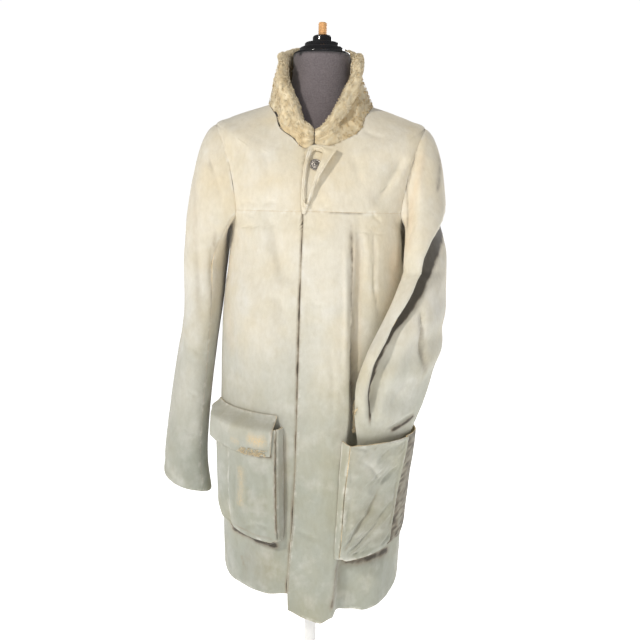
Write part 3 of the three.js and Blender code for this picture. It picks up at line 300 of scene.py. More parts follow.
# Stains and painted shade, warm patches and bare wool: a line of (x, z), half width, strength.
MARKS = {
    "skin_front_left": [
        # Painted shade: the dark strip on the shaded side of the long fold, from the yoke down past the
        # pocket.
        ("stain_and_shade", [(58, 1136), (63, 1060), (65, 973), (69, 860), (70, 757)], 4.2, 0.62),
        ("stain_and_shade", [(62, 734), (58, 668), (55, 535), (51, 410)], 4, 0.45),
        # Painted shade in the valley beside the armhole.
        ("stain_and_shade", [(158, 1137), (165, 1090), (164, 1036)], 5, 0.62),
        ("stain_and_shade", [(15, 1145), (48, 1145), (84, 1145)], 1.6, 0.55),
        # Painted shadow under the left pocket, then painted shade along the long fold below and beside the
        # pocket.
        ("stain_and_shade", [(52, 490), (87, 490), (125, 494), (156, 494)], 8, 1.15),
        ("stain_and_shade", [(49, 498), (46, 443), (38, 400)], 4, 0.7),
        ("stain_and_shade", [(64, 718), (59, 656), (53, 582), (47, 505)], 4.5, 0.85),
        ("warm", [(146, 1102), (140, 984), (128, 893), (103, 800)], 12, 0.7),
        ("warm", [(68, 1113), (75, 986), (78, 804)], 8, 0.45),
        # Painted shade in the wavy crease beside the long fold.
        ("stain_and_shade", [(95, 1127), (104, 1073), (105, 1005), (114, 951)], 1.8, 0.35),
    ],
    "skin_front_right": [
        # Painted shade in the hollow under the right armhole.
        ("stain_and_shade", [(-168, 1137), (-168, 1110), (-170, 1079)], 7, 0.8),
        # Painted shadow under the right pocket.
        ("stain_and_shade", [(-163, 531), (-130, 527), (-94, 527), (-56, 523)], 6.5, 1.15),
        ("stain_and_shade", [(-135, 478), (-70, 470)], 42, 0.14),
        ("stain_and_shade", [(-170, 1020), (-177, 1005)], 2.0, 0.5),
        ("stain_and_shade", [(-182, 975), (-180, 963)], 2.0, 0.5),
        ("stain_and_shade", [(-137, 480), (-130, 459)], 2.4, 0.4),
        ("warm", [(-171, 1071), (-172, 978), (-161, 864)], 10, 0.35),
        # Painted shadow beside the right pocket's inner side.
        ("stain_and_shade", [(-55, 746), (-55, 637), (-54, 523)], 4, 0.4),
        ("warm", [(-52, 750), (-49, 539)], 6, 0.6),
    ],
    "skin_sleeve_left_upper": [
        # Painted shade in the shadowed hollow at the sleeve's outer side, under its head.
        ("stain_and_shade", [(229, 1257), (225, 1222), (217, 1184)], 5, 0.5),
        ("stain_and_shade", [(182, 1277), (161, 1194), (163, 1107)], 1.5, 0.5),
        ("warm", [(192, 1266), (171, 1166), (158, 1067)], 8, 0.6),
        # Painted shadow in the hollow where the sleeve goes into the pocket.
        ("stain_and_shade", [(189, 775), (167, 765), (137, 751)], 4, 0.95),
        # Painted shade in the crease between the forearm and the hanging lobe.
        ("stain_and_shade", [(192, 949), (195, 907), (200, 853)], 4, 0.42),
    ],
    "skin_sleeve_right_upper": [
        ("stain_and_shade", [(-209, 1240), (-192, 1196), (-178, 1152)], 1.5, 0.4),
        # Painted shade in two of the sleeve's creases.
        ("stain_and_shade", [(-192, 1114), (-200, 1016), (-201, 918)], 4, 0.45),
        ("stain_and_shade", [(-241, 1235), (-224, 923)], 6, 0.12),
    ],
    "skin_pocket_right": [
        ("wool", [(-135, 684), (-132, 643), (-135, 599)], 7, 0.5),
        # Painted shade along the pocket's inner edge, and painted shadow under the flap's lower edge.
        ("stain_and_shade", [(-69, 755), (-67, 647), (-64, 549)], 3, 1.0),
        ("stain_and_shade", [(-160, 720), (-138, 713), (-100, 708), (-68, 705)], 4.5, 1.0),
        ("stain_and_shade", [(-149, 565), (-106, 555), (-67, 548)], 1.6, 0.5),
    ],
    "skin_pocket_left": [
        ("stain_and_shade", [(62, 745), (90, 640), (128, 520)], 60, 0.17), (
            # Painted shade in the pocket's deepest wrinkle.
            "stain_and_shade", [(59, 527), (79, 560), (106, 602), (126, 659)], 2.4, 0.45,
        ),
        ("stain_and_shade", [(157, 674), (152, 604), (142, 540)], 1.6, 0.4),
    ],
    "skin_flap_right": [
        ("wool", [(-123, 740), (-103, 733), (-83, 738)], 9, 0.9),
        ("wool", [(-155, 729), (-136, 725)], 5, 0.5),
        ("stain_and_shade", [(-69, 770), (-75, 751), (-77, 727)], 2, 0.5),
    ],
}
# (height, width) of the shade under the left sleeve's roll.
BAND_WIDTH = [(767, 5), (815, 6), (876, 8), (944, 14), (981, 21), (1080, 32), (1130, 40)]


# Turned pieces: radius and height.
BUTTON = [
    (0, 0), (8.5, 0), (10.2, 0.6), (10.5, 1.4), (10.2, 2.3), (9.3, 3.3), (8.6, 3.4), (7.9, 2.6), (6.9, 2.4),
    (5.8, 2.9), (4.2, 3.1), (2.6, 2.7), (1.6, 3.2), (0, 3.4),
]
CAP = [
    (0, 1438.4), (53.5, 1438.4), (54.5, 1439.6), (54.2, 1441.4), (52.6, 1442.6), (45, 1443.6),
    (43.5, 1444.6), (43.5, 1450.6), (42.2, 1451.8), (38, 1453.6), (34.6, 1455), (33.5, 1456), (33.5, 1460),
    (32.4, 1461.2), (22, 1462.8), (19, 1464.4), (18.5, 1466), (18.5, 1471.6), (17.8, 1473.6), (16, 1475),
    (0, 1475),
]
POLE = [(0, 16.4), (12, 16.4), (12.5, 16.9), (12.5, 300), (12.5, 615.1), (12, 615.6), (0, 615.6)]
PLATE = [
    (0, 0), (192, 0), (195, 1), (196, 3), (196, 7.5), (194.5, 10), (191, 11.2), (120, 12.6), (42, 13.8),
    (34, 14.8), (29, 16), (0, 16),
]
POST_LOW, POST_HEIGHT, POST_PITCH, POST_RADIUS, POST_RIDGE = 1475.4, 24, 3.2, 7.2, 1.1

# Lamps: name, place, aim, width in metres, watts, colour.
LAMPS = (
    ("key", (-1.75, -2.3, 3.0), (0.0, 0.0, 1.0), 0.3, 58, (1.0, 0.96, 0.895)),
    ("fill", (0.5, -3.2, 1.7), (0.0, 0.0, 0.9), 1.6, 7.5, (0.97, 0.98, 1.0)),
    ("rim", (1.2, 2.4, 2.6), (0.0, 0.0, 1.0), 1.2, 30, (1.0, 1.0, 1.0)),
)
CAMERA_AT, CAMERA_DOWN, CAMERA_ROLL, LENS, SENSOR = (0.007, -1.44, 1.158), 9.1, 1.25, 40.5, 36.0


# ---- settings -----------------------------------------------------------------------------------
class CoatCut(bpy.types.PropertyGroup):
    """Sizes of the coat's skins."""

    skin: bpy.props.FloatProperty(
        name="Skin", description="Thickness of the sheepskin", default=0.003, min=0.001, max=0.006,
        unit="LENGTH",
    )
    lap: bpy.props.FloatProperty(
        name="Lap", description="How far the left front stands off the right front", default=0.00395,
        min=0.003, max=0.01, unit="LENGTH",
    )
    grain: bpy.props.FloatProperty(
        name="Waviness", description="Height of the skin's soft waves", default=0.0011, min=0.0, max=0.004,
        unit="LENGTH",
    )
    step: bpy.props.FloatProperty(
        name="Mesh step", description="Distance between the points of a skin", default=0.0042, min=0.002,
        max=0.02, unit="LENGTH",
    )


class LambFur(bpy.types.PropertyGroup):
    """Curls of the collar and wool at the worn edges."""

    doublings: bpy.props.IntProperty(
        name="Doublings", description="How often one curl is doubled to cover the collar", default=11,
        min=4, max=11,
    )
    curl_size: bpy.props.FloatProperty(
        name="Curl size", description="Radius of one curl", default=0.0019, min=0.001, max=0.006,
        unit="LENGTH",
    )
    seed: bpy.props.IntProperty(
        name="Seed", description="Seed of the curls' places", default=7, min=0, max=999,
    )


class CoatColours(bpy.types.PropertyGroup):
    """Colours of the coat and the form."""

    skin_high: bpy.props.FloatVectorProperty(
        name="Skin, shoulders", description="Warm ivory of the shoulders", subtype="COLOR", size=3,
        default=(0.84, 0.77, 0.62),
    )
    skin_mid: bpy.props.FloatVectorProperty(
        name="Skin, chest", description="Ivory of the chest and fronts", subtype="COLOR", size=3,
        default=(0.78, 0.75, 0.655),
    )
    skin_low: bpy.props.FloatVectorProperty(
        name="Skin, skirt", description="Greyer ivory of the skirt", subtype="COLOR", size=3,
        default=(0.445, 0.46, 0.39),
    )
    fur_light: bpy.props.FloatVectorProperty(
        name="Fur tips", description="Light tips of the lamb fur", subtype="COLOR", size=3,
        default=(0.86, 0.76, 0.55),
    )
    fur_dark: bpy.props.FloatVectorProperty(
        name="Fur roots", description="Ochre between the curls", subtype="COLOR", size=3,
        default=(0.6, 0.46, 0.25),
    )
    jersey: bpy.props.FloatVectorProperty(
        name="Jersey", description="Charcoal cover of the form", subtype="COLOR", size=3,
        default=(0.165, 0.143, 0.15),
    )


def cut():
    return bpy.context.scene.coat_cut


def fur():
    return bpy.context.scene.coat_fur


def colours():
    return bpy.context.scene.coat_colours


# ---- small sums ---------------------------------------------------------------------------------
def smooth(a, b, t):
    """0 up to a, 1 from b, and a soft step between them."""
    s = np.clip((t - a) / (b - a), 0, 1)
    return s * s * (3 - 2 * s)


def mix(a, b, t):
    return a + (b - a) * t


def power(c, p):
    return np.sign(c) * np.abs(c) ** p


def bell(x, width):
    return np.exp(-((x / width) ** 2))


def table(rows, t):
    """The second column of a table at t in the first one, softly joined."""
    xs, ys = np.array([r[0] for r in rows], float), np.array([r[1] for r in rows], float)
    t = np.clip(t, xs[0], xs[-1])
    i = np.clip(np.searchsorted(xs, t), 1, len(xs) - 1)
    s = (t - xs[i - 1]) / (xs[i] - xs[i - 1])
    return mix(ys[i - 1], ys[i], s * s * (3 - 2 * s) * 0.4 + s * 0.6)


def spline(rows, t):
    """The rows of a table at whole or broken row numbers, as columns."""
    rows = np.array(rows, float)
    last = len(rows) - 1
    t = np.asarray(t, float)
    i = np.clip(np.floor(t).astype(int), 0, last - 1)
    s = (t - i)[..., None]
    b, d = rows[i], rows[i + 1]
    a = np.where((i < 1)[..., None], 2 * b - d, rows[np.clip(i - 1, 0, last)])
    e = np.where((i + 2 > last)[..., None], 2 * d - b, rows[np.clip(i + 2, 0, last)])
    out = b + 0.5 * s * (d - a + s * (2 * a - 5 * b + 4 * d - e + s * (3 * (b - d) + e - a)))
    return np.moveaxis(out, -1, 0)


def unit(v):
    return v / np.maximum(np.linalg.norm(v, axis=-1, keepdims=True), 1e-12)


def nearest(line, x, z):
    """Distance from a line of points, and how far along it from 0 to 1."""
    best, place = np.full(np.shape(x), 1e9), np.zeros(np.shape(x))
    for i in range(1, len(line)):
        (ax, az), (bx, bz) = line[i - 1], line[i]
        dx, dz = bx - ax, bz - az
        t = np.clip(((x - ax) * dx + (z - az) * dz) / (dx * dx + dz * dz), 0, 1)
        d = np.hypot(x - ax - t * dx, z - az - t * dz)
        nearer = d < best
        best, place = np.where(nearer, d, best), np.where(nearer, (i - 1 + t) / (len(line) - 1), place)
    return best, place


def fold_sum(folds, x, z):
    """Height of all folds at (x, z); a fold fades at its ends, but not at the hem."""
    total = np.zeros(np.shape(x))
    for line, width, height in folds:
        d, t = nearest(line, x, z)
        fade = smooth(0, 0.25, t)
        if line[-1][1] > BOTTOM + 1:
            fade = fade * smooth(0, 0.25, 1 - t)
        total = total + height * fade * bell(d, width)
    return total


HASH, HASH_SEED, HASH_MIX = (374761393, 668265263, 1442695041), 97, 1274126177


def noise(p, size, seed=0):
    """Soft noise from -1 to 1 over points in millimetres, with lumps of about this size."""
    q = p / size + seed * 7.31
    i = np.floor(q).astype(np.int64)
    f = q - i
    f = f * f * (3 - 2 * f)

    def lattice(corner):
        n = sum((i[..., axis] + corner[axis]) * HASH[axis] for axis in range(3)) + seed * HASH_SEED
        n = (n ^ (n >> 13)) * HASH_MIX
        return ((n ^ (n >> 16)) & 0xFFFF) / 32767.5 - 1

    out = 0
    near = (1 - f, f)
    for corner in itertools.product((0, 1), repeat=3):
        x, y, z = corner
        out = out + near[x][..., 0] * near[y][..., 1] * near[z][..., 2] * lattice(corner)
    return out


# ---- the coat's body ----------------------------------------------------------------------------
# u is the angle round the coat from the middle of the front towards the wearer's left, v the level.
def vec(x, y, z):
    return np.stack(np.broadcast_arrays(x, y, z), -1).astype(float)


def base(u, v):
    """A point of the body without folds."""
    u, v = np.broadcast_arrays(np.asarray(u, float), np.asarray(v, float))
    zs, zf, zb, a, bf, bb = spline(LEVELS, v)
    s, c = np.sin(u * RAD), np.cos(u * RAD)
    depth, middle = np.where(c > 0, bf, bb), np.where(c > 0, zf, zb)
    return vec(a * power(s, 2 / ROUND), -depth * power(c, 2 / ROUND), zs + (middle - zs) * c * c)


def base_normal(u, v):
    """The way out of the body at a point."""
    du = base(u + 1.5, v) - base(u - 1.5, v)
    dv = base(u, v + 0.06) - base(u, v - 0.06)
    return unit(np.cross(du, dv))


def crest(x, z):
    """Height of the left front's long fold."""
    q = x - table(CREST_X, z)
    before = mix(0.3, 1, smooth(*CREST_RISE, q))
    drop = mix(1, CREST_DIP, smooth(0, CREST_DROP, q))
    after = CREST_DIP * (1 - smooth(CREST_DROP, CREST_END, q))
    rise = np.where(q < 0, before, np.where(q < CREST_DROP, drop, after))
    return table(CREST_H, z) * rise * smooth(-150, -60, x)


def drape(u, v):
    """Height of the coat's folds off its body."""
    p, c = base(u, v), np.cos(np.asarray(u, float) * RAD)
    x, z = p[..., 0], p[..., 2]
    front = fold_sum(FOLDS, x, z) + np.where(z < YOKE_SEAM, crest(x, z), 0)
    return smooth(0.1, 0.32, c) * front + smooth(0.1, 0.32, -c) * fold_sum(BACK_FOLDS, x, z)


def lap(u, v):
    """How far the left front stands off the right one."""
    return cut().lap * METRE * (1 - smooth(*LAP_END, base(u, v)[..., 0]))


def outer(u, v, extra=0.0):
    """The coat's outer face, moved out by extra."""
    return base(u, v) + base_normal(u, v) * (drape(u, v) + extra)[..., None]


def bisect(test, low, high, shape):
    """Where test turns from true to false between low and high."""
    lo, hi = np.full(shape, float(low)), np.full(shape, float(high))
    for _ in range(34):
        mid = (lo + hi) / 2
        under = test(mid)
        lo, hi = np.where(under, mid, lo), np.where(under, hi, mid)
    return (lo + hi) / 2


def angle_at(x, v):
    """The angle of the ring's front at this x."""
    return np.sign(x) * np.arcsin(np.clip(np.abs(x) / spline(LEVELS, v)[3], 0, 1) ** (ROUND / 2)) / RAD


def front_at(x, z):
    """Angle and level of a spot on the front of the body."""
    v = bisect(lambda m: base(angle_at(x, m), m)[..., 2] < z, 0, NECK_LEVEL + 0.5, np.shape(x))
    return angle_at(x, v), v


def level_at(z):
    """The level whose front is this high, up to the chest."""
    z = np.asarray(z, float)
    return bisect(lambda m: spline(LEVELS, m)[1] < z, 0, 6.5, z.shape)


def hole_spot(t):
    """Angle and level of a point on the armhole's edge."""
    s, c = np.sin(t * RAD), np.cos(t * RAD)
    u = HOLE_ANGLE - HOLE_HALF_ANGLE * power(s, HOLE_ROUND)
    return u, HOLE_LEVEL + HOLE_HALF_LEVEL * power(c, HOLE_ROUND)


def hole_half(v):
    """Half the angle that the armhole takes out of a ring."""
    c = np.clip(np.abs((v - HOLE_LEVEL) / HOLE_HALF_LEVEL), 0, 1) ** (1 / HOLE_ROUND)
    half = HOLE_HALF_ANGLE * np.sqrt(np.maximum(0, 1 - c * c)) ** HOLE_ROUND
    return np.where(np.abs(v - HOLE_LEVEL) < HOLE_HALF_LEVEL, half, 0)


def from_front(u):
    """The same angle between -180 and 180."""
    return (u + 540) % 360 - 180


def neck_dip(u):
    """The level of the neck seam, lower at the throat."""
    a = from_front(u)
    front = mix(1.8, 0.7, smooth(-11, 0, a)) * bell(a, 12)
    return NECK_LEVEL - front - 0.42 * (1 - smooth(30, 55, np.abs(a)))


def level_of(row, u, hem=None):
    """The level of a panel's row, which bends to the hem below level 2 and to the neck above 10."""
    row, u = np.broadcast_arrays(np.asarray(row, float), np.asarray(u, float))
    v = np.where(row > 10, 10 + (row - 10) / 3 * (neck_dip(u) - 10), row)
    if hem:
        h = (table(hem, base(u, np.full(u.shape, 0.2))[..., 0]) - BOTTOM) / (LEVELS[1][0] - BOTTOM)
        v = np.where(row < 2, h + row / 2 * (2 - h), v)
    return v


def off(u, v, o):
    """A place off the coat, level with its ring."""
    n = base_normal(u, v)
    n[..., 2] = 0
    return base(u, v) + unit(n) * np.asarray(o)[..., None]


def coat_face(u, v):
    """How far the coat's outer face is off its body."""
    return drape(u, v) + lap(u, v) * ((u > -6) & (u < 90))


# ---- laying a skin ------------------------------------------------------------------------------
FAR_FROM_SEAM = 99.0
RIM_WIDTH, RIM_ANGLE = 0.0003, 60


def front_line(line, p, facing):
    """Distance from a line of (x, z), far away on the parts that face backwards."""
    d, t = nearest(line, p[..., 0], p[..., 2])
    return d + METRE * (facing > 0.2), t


def creases(name, p, facing):
    """Height of a skin's own creases."""
    out = np.zeros(p.shape[:-1])
    for line, width, height in CREASES.get(name, ()):
        d, t = front_line(line, p, -facing if name == "skin_back" else facing)
        wander = 1.5 + 0.5 * noise(p, 22, 51)
        fade = smooth(0, 0.3, t) * smooth(0, 0.3, 1 - t)
        out = out + height * wander * fade * bell(d, width)
    return out


def marks(name, kind, p, facing):
    """Strength of a skin's own marks of one kind."""
    out = np.zeros(p.shape[:-1])
    for sort, line, width, strength in MARKS.get(name, ()):
        if sort == kind:
            d, t = front_line(line, p, facing)
            blot = np.clip(0.9 + 0.3 * noise(p, 14, 52) + 0.2 * noise(p, 5, 53), 0, 1.2)
            ends = smooth(0, 0.12, t) * smooth(0, 0.12, 1 - t)
            out = np.maximum(out, strength * blot * ends * bell(d, width))
    return out


def points_of(mesh):
    co = np.empty(len(mesh.vertices) * 3)
    mesh.vertices.foreach_get("co", co)
    return co.reshape(-1, 3)


def paint(mesh, name, values):
    """A number at each point of a mesh, for its material to read."""
    mesh.attributes.new(name, "FLOAT", "POINT").data.foreach_set("value", values.astype(np.float32))


def lay(
    name, cols, rows, place, centre, relief, wrap=False, thickness=None, seams="lrbt", materials=None,
    shade=None,
):
    """A skin stretched over place(a, b), a across and b up from 0 to 1, and thickened inwards.

    relief(p, across, up, width, height, border) gives the height of folds and puckers at each point, in
    millimetres, and shade(p) the strength of stains and of painted shade there. seams names the edges
    that are sewn: left, right, bottom, top.
    """
    materials = materials or (suede(), fleece())
    bm = bmesh.new()
    bmesh.ops.create_grid(bm, x_segments=cols, y_segments=rows, size=0.5)
    mesh = bpy.data.meshes.new(name)
    bm.to_mesh(mesh)
    bm.free()
    co = points_of(mesh)
    ia, ib = (np.rint((co[:, i] + 0.5) * count).astype(int) for i, count in enumerate((cols, rows)))
    a, b = np.meshgrid(np.linspace(0, 1, cols + 1), np.linspace(0, 1, rows + 1))
    p = place(a, b)
    da, db = np.gradient(p, axis=1), np.gradient(p, axis=0)
    if wrap:
        da[:, 0] = da[:, -1] = (p[:, 1] - p[:, -2]) / 2
    n = unit(np.cross(da, db))
    if np.sum(n * (p - centre)) < 0:
        n = -n
    steps_a = np.linalg.norm(np.diff(p, axis=1), axis=-1)
    steps_b = np.linalg.norm(np.diff(p, axis=0), axis=-1)
    across = np.concatenate([np.zeros((rows + 1, 1)), np.cumsum(steps_a, 1)], 1)
    up = np.concatenate([np.zeros((1, cols + 1)), np.cumsum(steps_b, 0)], 0)
    width, height = across[:, -1:], up[-1:, :]
    border = np.full(a.shape, FAR_FROM_SEAM)
    for edge, distance in zip("lrbt", (across, width - across, up, height - up)):
        if edge in seams:
            border = np.minimum(border, distance)
    painted = {kind: marks(name, kind, p, n[..., 1]) for kind in ("stain_and_shade", "warm", "wool")}
    if shade:
        painted["stain_and_shade"] = np.maximum(painted["stain_and_shade"], shade(p))
    if relief:
        p = p + n * (relief(p, across, up, width, height, border) + creases(name, p, n[..., 1]))[..., None]
    if wrap:
        p[:, -1] = p[:, 0]
    mesh.vertices.foreach_set("co", (p[ib, ia] * MM).ravel())
    for kind, values in (*painted.items(), ("border", border)):
        paint(mesh, kind, values[ib, ia])
    uv = mesh.uv_layers.new(name="cut")
    corner = np.empty(len(mesh.loops), dtype=int)
    mesh.loops.foreach_get("vertex_index", corner)
    flat = np.stack([across[ib, ia], up[ib, ia]], 1)[corner] * MM
    uv.data.foreach_set("uv", flat.astype(np.float32).ravel())
    mesh.update()
    facing = np.empty(len(mesh.vertices) * 3)
    mesh.vertex_normals.foreach_get("vector", facing)
    if np.sum(facing.reshape(-1, 3) * n[ib, ia]) < 0:
        mesh.flip_normals()
    if wrap:
        bm = bmesh.new()
        bm.from_mesh(mesh)
        bmesh.ops.remove_doubles(bm, verts=bm.verts, dist=1e-7)
        bm.to_mesh(mesh)
        bm.free()
    mesh.polygons.foreach_set("use_smooth", [True] * len(mesh.polygons))
    obj = bpy.data.objects.new(name, mesh)
    bpy.context.scene.collection.objects.link(obj)
    for m in materials:
        mesh.materials.append(m)
    thickness = cut().skin if thickness is None else thickness
    if thickness:
        wall = obj.modifiers.new("wall", "SOLIDIFY")
        wall.thickness = thickness
        wall.offset = -1
        wall.use_quality_normals = True
        if len(materials) > 1:
            wall.material_offset = 1
            wall.material_offset_rim = 1
        rim = obj.modifiers.new("rim", "BEVEL")
        rim.width, rim.segments, rim.harden_normals = RIM_WIDTH, 1, True
        rim.limit_method, rim.angle_limit = "ANGLE", math.radians(RIM_ANGLE)
    obj["cut_size"] = (float(width.mean()) / METRE, float(height.mean()) / METRE)
    return obj


def skin_waves(p, across, up, width, height, border):
    """Soft waves of a worn skin, and the pucker and roll of its seams."""
    g = cut().grain * METRE
    wave = 0.75 * noise(p, 46, 1) + 0.32 * noise(p, 17, 2) + 0.12 * noise(p, 6.5, 3)
    edge = bell(border, 2.6) * smooth(-0.5, 0.4, noise(p, 40, 33))
    pucker = noise(p, 8.5, 5) * np.exp(-border / 7.0)
    swell = bell(border - 6.5, 4.0)
    waves = g * wave * (1 - 0.75 * edge)
    return waves - 0.15 * edge + 0.35 * pucker + 0.22 * swell * smooth(-0.5, 0.5, noise(p, 33, 34))


def steps(length, finer=1.0):
    """How many mesh steps a length takes."""
    return max(4, int(round(length * finer / (cut().step * METRE) * (1))))


def stand_for(obj, node):
    """A piece rides on the frame's only body and stands for one of its nodes."""
    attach(obj, "root")
    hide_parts(node)


def skin_for(obj, node, *rests_on, flat=None, area=None):
    """A skin stands for a node; its flat size is worked out but not used, and the pieces it lies on are not
    used.
    """
    stand_for(obj, node)
    w, h = flat or obj["cut_size"]


def closed(mesh, lengthen=None):
    """Closes the open ends of a mesh, which lengthen(bm) may draw out first."""
    bm = bmesh.new()
    bm.from_mesh(mesh)
    if lengthen:
        lengthen(bm)
    bmesh.ops.holes_fill(bm, edges=[e for e in bm.edges if e.is_boundary], sides=0)
    bmesh.ops.triangulate(bm, faces=[f for f in bm.faces if len(f.verts) > 4])
    bm.to_mesh(mesh)
    bm.free()


def turned(profile, count):
    """A profile of (radius, height) in millimetres, turned round the vertical axis."""
    bm = bmesh.new()
    verts = [bm.verts.new((r * MM, 0, h * MM)) for r, h in profile]
    edges = [bm.edges.new(pair) for pair in zip(verts, verts[1:])]
    bmesh.ops.spin(
        bm, geom=verts + edges, axis=(0, 0, 1), cent=(0, 0, 0), dvec=(0, 0, 0), angle=math.tau, steps=count,
        use_merge=True, use_duplicate=False,
    )
    bmesh.ops.remove_doubles(bm, verts=bm.verts, dist=1e-6)
    return bm


# ---- materials ----------------------------------------------------------------------------------
class Nodes:
    """Short calls for building a material's node tree."""

    def __init__(self, name):
        self.material = bpy.data.materials.new(name)
        self.material.use_nodes = True
        self.tree = self.material.node_tree
        self.shader = self.tree.nodes["Principled BSDF"]

    def add(self, kind, **values):
        node = self.tree.nodes.new("ShaderNode" + kind)
        for key, value in values.items():
            if key in node.inputs:
                node.inputs[key].default_value = value
            else:
                setattr(node, key, value)
        return node

    def link(self, a, b):
        self.tree.links.new(a, b)

    def coords(self):
        return self.add("TexCoord").outputs["Object"]

    def noise(self, scale, detail=3.0, rough=0.55, stretch=None, seed=0.0):
        tex = self.add("TexNoise", Scale=scale, Detail=detail, Roughness=rough)
        source = self.coords()
        if stretch or seed:
            mapping = self.add("Mapping")
            mapping.inputs["Scale"].default_value = stretch or (1, 1, 1)
            mapping.inputs["Location"].default_value = (seed, seed * 0.7, -seed)
            self.link(source, mapping.inputs["Vector"])
            source = mapping.outputs["Vector"]
        self.link(source, tex.inputs["Vector"])
        return tex.outputs["Fac"]

    def ramp(self, source, stops):
        ramp = self.add("ValToRGB")
        self.link(source, ramp.inputs["Fac"])
        elements = ramp.color_ramp.elements
        while len(elements) > 1:
            elements.remove(elements[-1])
        elements[0].position, elements[0].color = stops[0][0], stops[0][1]
        for place, colour in stops[1:]:
            elements.new(place).color = colour
        return ramp.outputs["Color"]

    def shape(self, source, low, high, out_low=0.0, out_high=1.0):
        node = self.add("MapRange")
        self.link(source, node.inputs["Value"])
        ends = {"From Min": low, "From Max": high, "To Min": out_low, "To Max": out_high}
        for key, value in ends.items():
            node.inputs[key].default_value = value
        return node.outputs["Result"]

    def blend(self, factor, a, b, mode="MIX"):
        node = self.add("Mix", data_type="RGBA", blend_type=mode)
        for key, value in ((0, factor), (6, a), (7, b)):
            if isinstance(value, (int, float)):
                node.inputs[key].default_value = value
            elif isinstance(value, tuple):
                node.inputs[key].default_value = (*value[:3], 1.0)
            else:
                self.link(value, node.inputs[key])
        return node.outputs[2]

    def sum(self, a, b, how="MULTIPLY"):
        """Two values multiplied, or joined in another way."""
        node = self.add("Math", operation=how)
        for key, value in ((0, a), (1, b)):
            if isinstance(value, (int, float)):
                node.inputs[key].default_value = value
            else:
                self.link(value, node.inputs[key])
        return node.outputs[0]

    def bump(self, height, distance, strength=1.0, below=None):
        node = self.add("Bump")
        node.inputs["Distance"].default_value = distance
        node.inputs["Strength"].default_value = strength
        self.link(height, node.inputs["Height"])
        if below:
            self.link(below, node.inputs["Normal"])
        return node.outputs["Normal"]

    def attribute(self, name):
        return self.add("Attribute", attribute_name=name).outputs["Fac"]

    def place(self):
        """Height and x of a point."""
        split = self.add("SeparateXYZ")
        self.link(self.coords(), split.inputs[0])
        return split.outputs[2], split.outputs[0]

    def surface(self, **inputs):
        """Values or links for the shader's inputs, with _ for a space in their names."""
        for key, value in inputs.items():
            socket = self.shader.inputs[key.replace("_", " ")]
            if isinstance(value, bpy.types.NodeSocket):
                self.link(value, socket)
            else:
                socket.default_value = value


def rgba(c, k=1.0):
    """A colour with its alpha, k times as bright."""
    return (c[0] * k, c[1] * k, c[2] * k, 1.0)


def made(name, build):
    """The material of this name, built when it is first asked for."""
    if name not in bpy.data.materials:
        build(Nodes(name))
    return bpy.data.materials[name]


